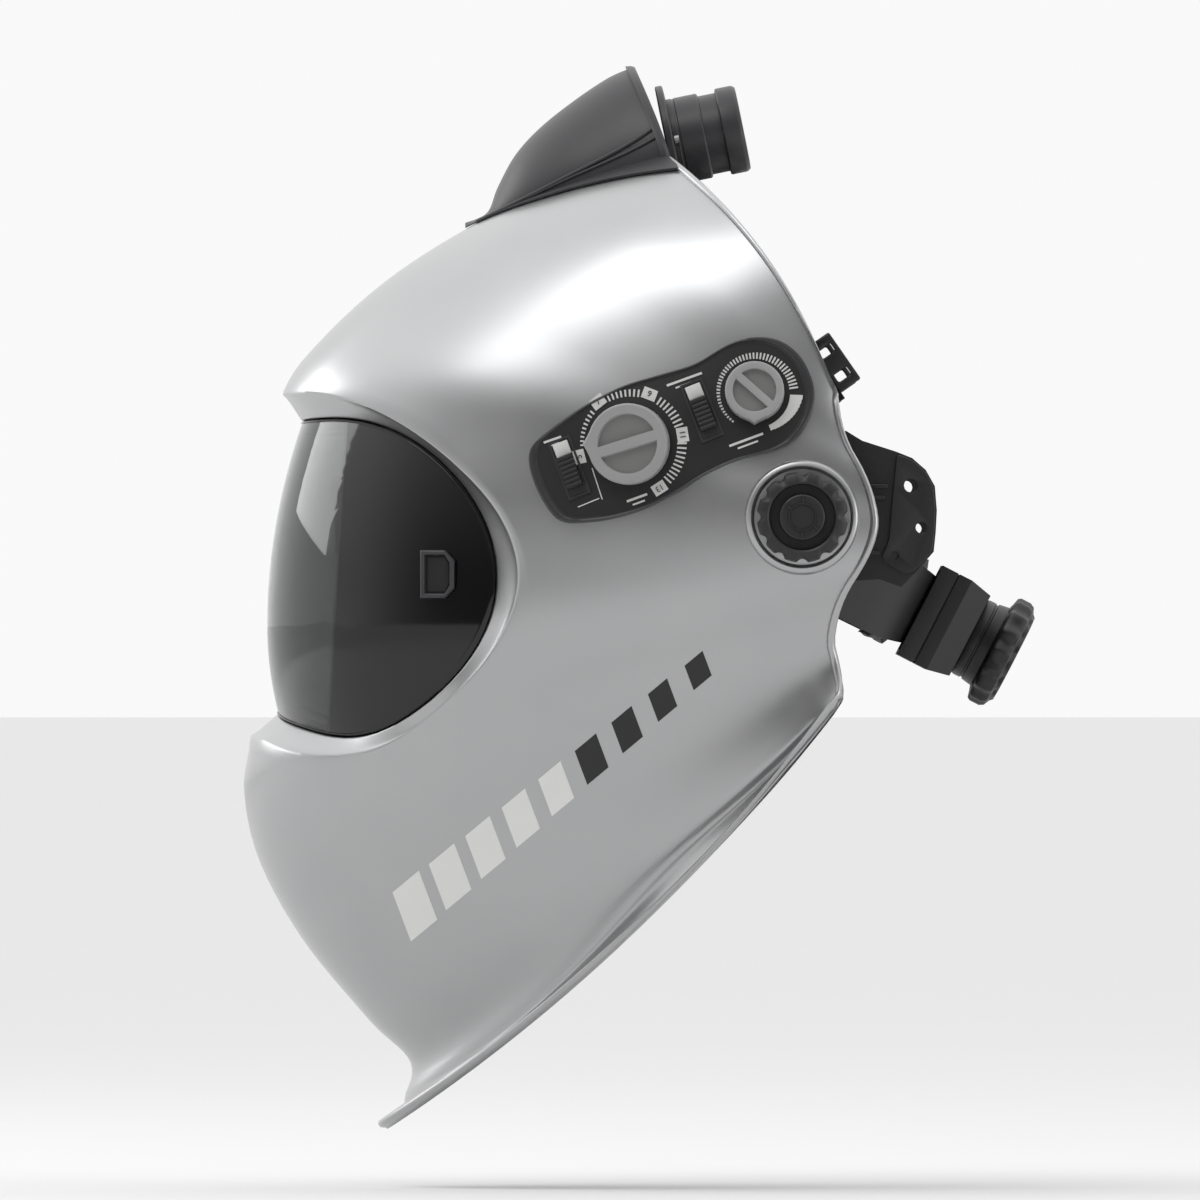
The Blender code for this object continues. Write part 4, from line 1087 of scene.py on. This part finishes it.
def head_ring_point(turn, off, rise):
    """A point of the head ring; turn is 0 at the forehead and grows towards the wearer's left."""
    power = 2.0 / HEAD_RING_FULLNESS
    fore = math.copysign(abs(math.cos(turn)) ** power, math.cos(turn)) * (HEAD_RING_FORE + off)
    side = math.copysign(abs(math.sin(turn)) ** power, math.sin(turn)) * (HEAD_RING_HALF_WIDTH + off)
    return RING_CENTRE + HEAD_AHEAD * fore + LEFT * side + HEAD_UP * rise


# A rear band's section as (height over half its width, distance off the head ring).
BAND_SECTION = ((-1.0, 0.4), (-1.0, 1.6), (-0.86, 1.9), (-0.82, 1.4), (0.82, 1.4), (0.86, 1.9), (1.0, 1.6),
                (1.0, 0.4))


def make_rear_bands():
    """Rear bands: curved straps with a raised edge that run from the side plates into the ratchet cover."""
    rows = []
    for k in range(25):
        turn = math.radians(118 + 48 * k / 24)
        out = Vector((math.sin(turn), 0.0, 0.0)) - HEAD_AHEAD * math.cos(turn)
        half = 15.2 - 2.2 * max(k - 14, 0) / 10
        base = head_ring_point(turn, 4.2, -5.5 + 0.9 * k / 24)
        rows.append([base + HEAD_UP * (half * rise) + out * reach for rise, reach in BAND_SECTION])
    for name, ribbon in (("left", rows), ("right", [mirrored(row) for row in rows])):
        band = loft(ribbon)
        piece(f"nape_band_{name}", band, NYLON, "headgear", (f"rear_band_{name}",),
              smooth=40.0)


# Side plate's outer layer as y, z; its holes as y, z, radius, inner end; its lugs as y, z, length.
PLATE_LAYER = (
    (33.4, 22.4), (38.9, 20.3), (43.4, 16.4), (46.4, 10.9), (47.1, 2.5), (46.7, -5.3),
    (46.0, -11.9), (40.5, -18.2), (36.4, -20.0), (27.6, -14.6), (30.6, -8.4), (31.8, 6.0),
)
PLATE_HOLES = ((38.4, 11.2, 2.4, 70.0), (42.1, -3.6, 2.0, 70.0), (32.6, -13.4, 1.5, 84.0))
PLATE_LUGS = ((27.0, 11.0, 7.0), (26.5, 7.0, 6.0), (24.5, -12.4, 6.0))


def make_plate_layers():
    """The outer layer of each side plate, with its strap holes, bosses and a rivet dimple."""
    outline = softened(resample(PLATE_LAYER + (PLATE_LAYER[0],), 97)[:-1], 3, closed=True)
    for name, side in SIDES:
        skins = [[Vector((x, y, z)) for y, z in outline] for x in (83.2, 84.6)]
        made = piece(f"plate_layer_{name}", loft(skins), NYLON, "headgear", smooth=30.0)
        for y, z, radius, low in PLATE_HOLES:
            drill = begin(bpy.ops.mesh.primitive_cylinder_add, vertices=40, radius=radius * MM,
                          depth=20 * MM, location=((low + 10) * MM, y * MM, z * MM),
                          rotation=(0.0, math.pi / 2, 0.0))
            carve(made, drill)
        apply_modifier(made, "BEVEL", width=0.35 * MM, segments=2, limit_method="ANGLE")
        parts = [made]
        for k, (y, z, length) in enumerate(PLATE_LUGS):
            lug = box((1.4, length, 1.5), (83.6, y, z))
            apply_modifier(lug, "BEVEL", width=0.5, segments=3)
            flip = Matrix.Scale(side, 4, LEFT)
            settle(lug, f"plate_lug_{name}_{k}", flip, NYLON, "headgear")
            parts.append(lug)
        if side < 0:
            made.data.transform(Matrix.Scale(-1.0, 4, LEFT))
            for part in parts:
                part.data.flip_normals()


def make_buckles():
    """Strap buckles: a block with two slots."""
    lean = Matrix((LEFT, Vector((0.0, 0.82, 0.57)), Vector((0.0, -0.57, 0.82)))).transposed().to_4x4()
    for name, side in SIDES:
        place = Matrix.Translation(Vector((side * 82.4, 11.5, 54.5))) @ lean
        block = box((3.0, 9.0, 20.0))
        for height in (-5.0, 5.0):
            carve(block, box((6.0, 5.4, 3.4), (0.0, 0.0, height)))
        apply_modifier(block, "BEVEL", width=0.7, segments=3, limit_method="ANGLE")
        settle(block, f"buckle_frame_{name}", place, NYLON, "headgear",
               (f"strap_buckle_{name}",))


# Padded node, the piece made from it, its body and the voxel size of the cloth mesh.
CUSHIONS = (("sweatband", "brow_pad", "headgear", 2.1), ("nape_pad", "nape_cushion", "ratchet", 2.1),
            ("crown_pad", "crown_cushion", "headgear", 2.4))


PAD_SHRINK = 0.8
PAD_SWELL_LIMIT = 2.2
CLOTH_STEPS = 20


def swell(pad, home):
    """Puffs a shrunken pad by cloth pressure and holds every point near its place on the solid."""
    cloth = pad.modifiers.new("cloth", "CLOTH")
    cloth.settings.use_pressure = True
    cloth.settings.uniform_pressure_force = 4.0
    cloth.settings.effector_weights.gravity = 0.0
    for step in range(1, CLOTH_STEPS + 1):
        bpy.context.scene.frame_set(step)
    bpy.ops.object.select_all(action="DESELECT")
    pad.select_set(True)
    bpy.context.view_layer.objects.active = pad
    bpy.ops.object.modifier_apply(modifier="cloth")
    bpy.context.scene.frame_set(1)
    for vert, place in zip(pad.data.vertices, home):
        move = vert.co - place
        if move.length > PAD_SWELL_LIMIT * MM:
            vert.co = place + move.normalized() * PAD_SWELL_LIMIT * MM


def make_cushions():
    """Foam pads in knit covers, puffed by a short cloth simulation from the solids' own shapes."""
    for node, name, body, voxel in CUSHIONS:
        mesh = bpy.data.objects[node].data.copy()
        pad = bpy.data.objects.new(name, mesh)
        bpy.context.scene.collection.objects.link(pad)
        work = bmesh.new()
        work.from_mesh(mesh)
        bmesh.ops.remove_doubles(work, verts=work.verts, dist=1e-5)
        work.to_mesh(mesh)
        work.free()
        mesh.materials.clear()
        mesh.materials.append(KNIT)
        apply_modifier(pad, "REMESH", mode="VOXEL", voxel_size=voxel * MM)
        home = [vert.co.copy() for vert in pad.data.vertices]
        normals = [vert.normal.copy() for vert in pad.data.vertices]
        for vert, normal in zip(pad.data.vertices, normals):
            vert.co = vert.co - normal * PAD_SHRINK * MM
        swell(pad, home)
        apply_modifier(pad, "SMOOTH", iterations=4, factor=0.5)
        apply_modifier(pad, "SUBSURF", levels=1, render_levels=1)
        pad.data.shade_smooth()
        enrol(pad, body, (node,))


NODE_FINISHES = {
    CHARCOAL: ("inner_duct",),
    NYLON: ("cassette_holder", "cassette_frame", "battery_drawer_left", "battery_drawer_right",
            "control_module", "headband_front", "rack_left", "rack_right", "side_plate_left",
            "side_plate_right", "crown_strap_front", "crown_strap_rear", "crown_bridge", "carrier_left",
            "carrier_right"),
    FILTER: ("filter_glass",),
    CLEAR: ("inner_cover_lens",),
    CELL: ("solar_cell", "arc_sensor_left", "arc_sensor_right"),
    RUBBER: ("lens_gasket", "friction_washer_left", "friction_washer_right", "control_cable"),
    ZINC: ("flange_screw_left", "flange_screw_right", "pivot_stud_left", "pivot_stud_right",
           "ratchet_pinion"),
}


def dress_nodes():
    """Gives every kept solid its real finish."""
    for finish, names in NODE_FINISHES.items():
        for name in names:
            solid = bpy.data.objects[name]
            for slot in solid.material_slots:
                slot.material = finish


# ---------------------------------------------------------------- floor, light and camera

VIEW_CENTRE = Vector((0.0, -71.0, -29.1)) * MM
VIEW_DISTANCE = 10.0
VIEW_WIDTH = 0.426
FLOOR_DROP = 20.0
# World strength towards the dark side, from overhead, and as the camera sees it.
ROOM_DARK_SIDE = 0.1
ROOM_TOP_LIGHT = 0.4
ROOM_SEEN = 0.95


def make_stage():
    floor_z = CAD_BOX[0][2] - FLOOR_DROP * MM
    bpy.ops.object.select_all(action="DESELECT")
    bpy.ops.mesh.primitive_plane_add(size=160.0, location=(0.0, 0.0, floor_z))
    floor = bpy.context.object
    floor.name = "floor"
    floor.data.materials.append(grained("matt_white_floor", "D6D6D6", "DADADA", 0.85, 4.0, 0.01))
    world = bpy.data.worlds.new("studio")
    world.use_nodes = True
    tree = world.node_tree
    tree.nodes["Background"].inputs["Color"].default_value = (1.0, 1.0, 1.0, 1.0)
    place = add(tree, "ShaderNodeTexCoord")
    split = add(tree, "ShaderNodeSeparateXYZ", [("Vector", place.outputs["Generated"])])
    ahead = add(tree, "ShaderNodeMapRange", [("Value", split.outputs["X"])], interpolation_type="SMOOTHSTEP")
    ahead.inputs["From Min"].default_value = 0.0
    ahead.inputs["To Min"].default_value = 1.0
    ahead.inputs["To Max"].default_value = ROOM_DARK_SIDE
    above = add(tree, "ShaderNodeMapRange", [("Value", split.outputs["Z"])], interpolation_type="SMOOTHSTEP")
    above.inputs["From Min"].default_value = 0.1
    above.inputs["From Max"].default_value = 0.8
    above.inputs["To Max"].default_value = ROOM_TOP_LIGHT
    both = add(tree, "ShaderNodeMath", [(0, ahead.outputs["Result"]), (1, above.outputs["Result"])])
    seen = add(tree, "ShaderNodeLightPath")
    shown = add(tree, "ShaderNodeMix", [(0, seen.outputs["Is Camera Ray"]), (2, both.outputs[0])])
    shown.inputs[3].default_value = ROOM_SEEN
    tree.links.new(tree.nodes["Background"].inputs["Strength"], shown.outputs[0])
    bpy.context.scene.world = world


def softbox(name, place, aim, size, power):
    lamp = bpy.data.lights.new(name, "AREA")
    lamp.shape = "RECTANGLE"
    lamp.size, lamp.size_y = size
    lamp.energy = power
    made = bpy.data.objects.new(name, lamp)
    made.location = place
    made.rotation_euler = (Vector(aim) - Vector(place)).to_track_quat("-Z", "Y").to_euler()
    bpy.context.scene.collection.objects.link(made)


def make_lights():
    softbox("key_above_front", (1.2, -0.9, 2.0), (0.0, -0.06, 0.03), (1.4, 1.0), 13.0)
    softbox("front_window", (-0.9, -1.9, 0.75), (0.0, -0.15, 0.0), (1.3, 0.9), 9.0)
    softbox("rear_edge", (0.8, 1.4, -0.05), (0.0, 0.0, -0.05), (0.3, 0.8), 4.0)


def make_camera():
    eye = bpy.data.cameras.new("camera")
    eye.sensor_width = 36.0
    eye.lens = 36.0 * VIEW_DISTANCE / VIEW_WIDTH
    eye.clip_end = 50.0
    camera = bpy.data.objects.new("camera", eye)
    camera.location = VIEW_CENTRE + Vector((VIEW_DISTANCE, 0.0, 0.0))
    camera.rotation_euler = (math.pi / 2, 0.0, math.pi / 2)
    bpy.context.scene.collection.objects.link(camera)
    bpy.context.scene.camera = camera
    bpy.context.scene.view_settings.view_transform = "Standard"


make_shell()
make_lens()
make_clips()
make_panel()
make_prints()
make_controls()
make_stripe()
make_hood()
make_inlet()
make_pivots()
make_ratchet()
make_rear_bands()
make_plate_layers()
make_buckles()
make_cushions()
dress_nodes()
make_stage()
make_lights()
make_camera()
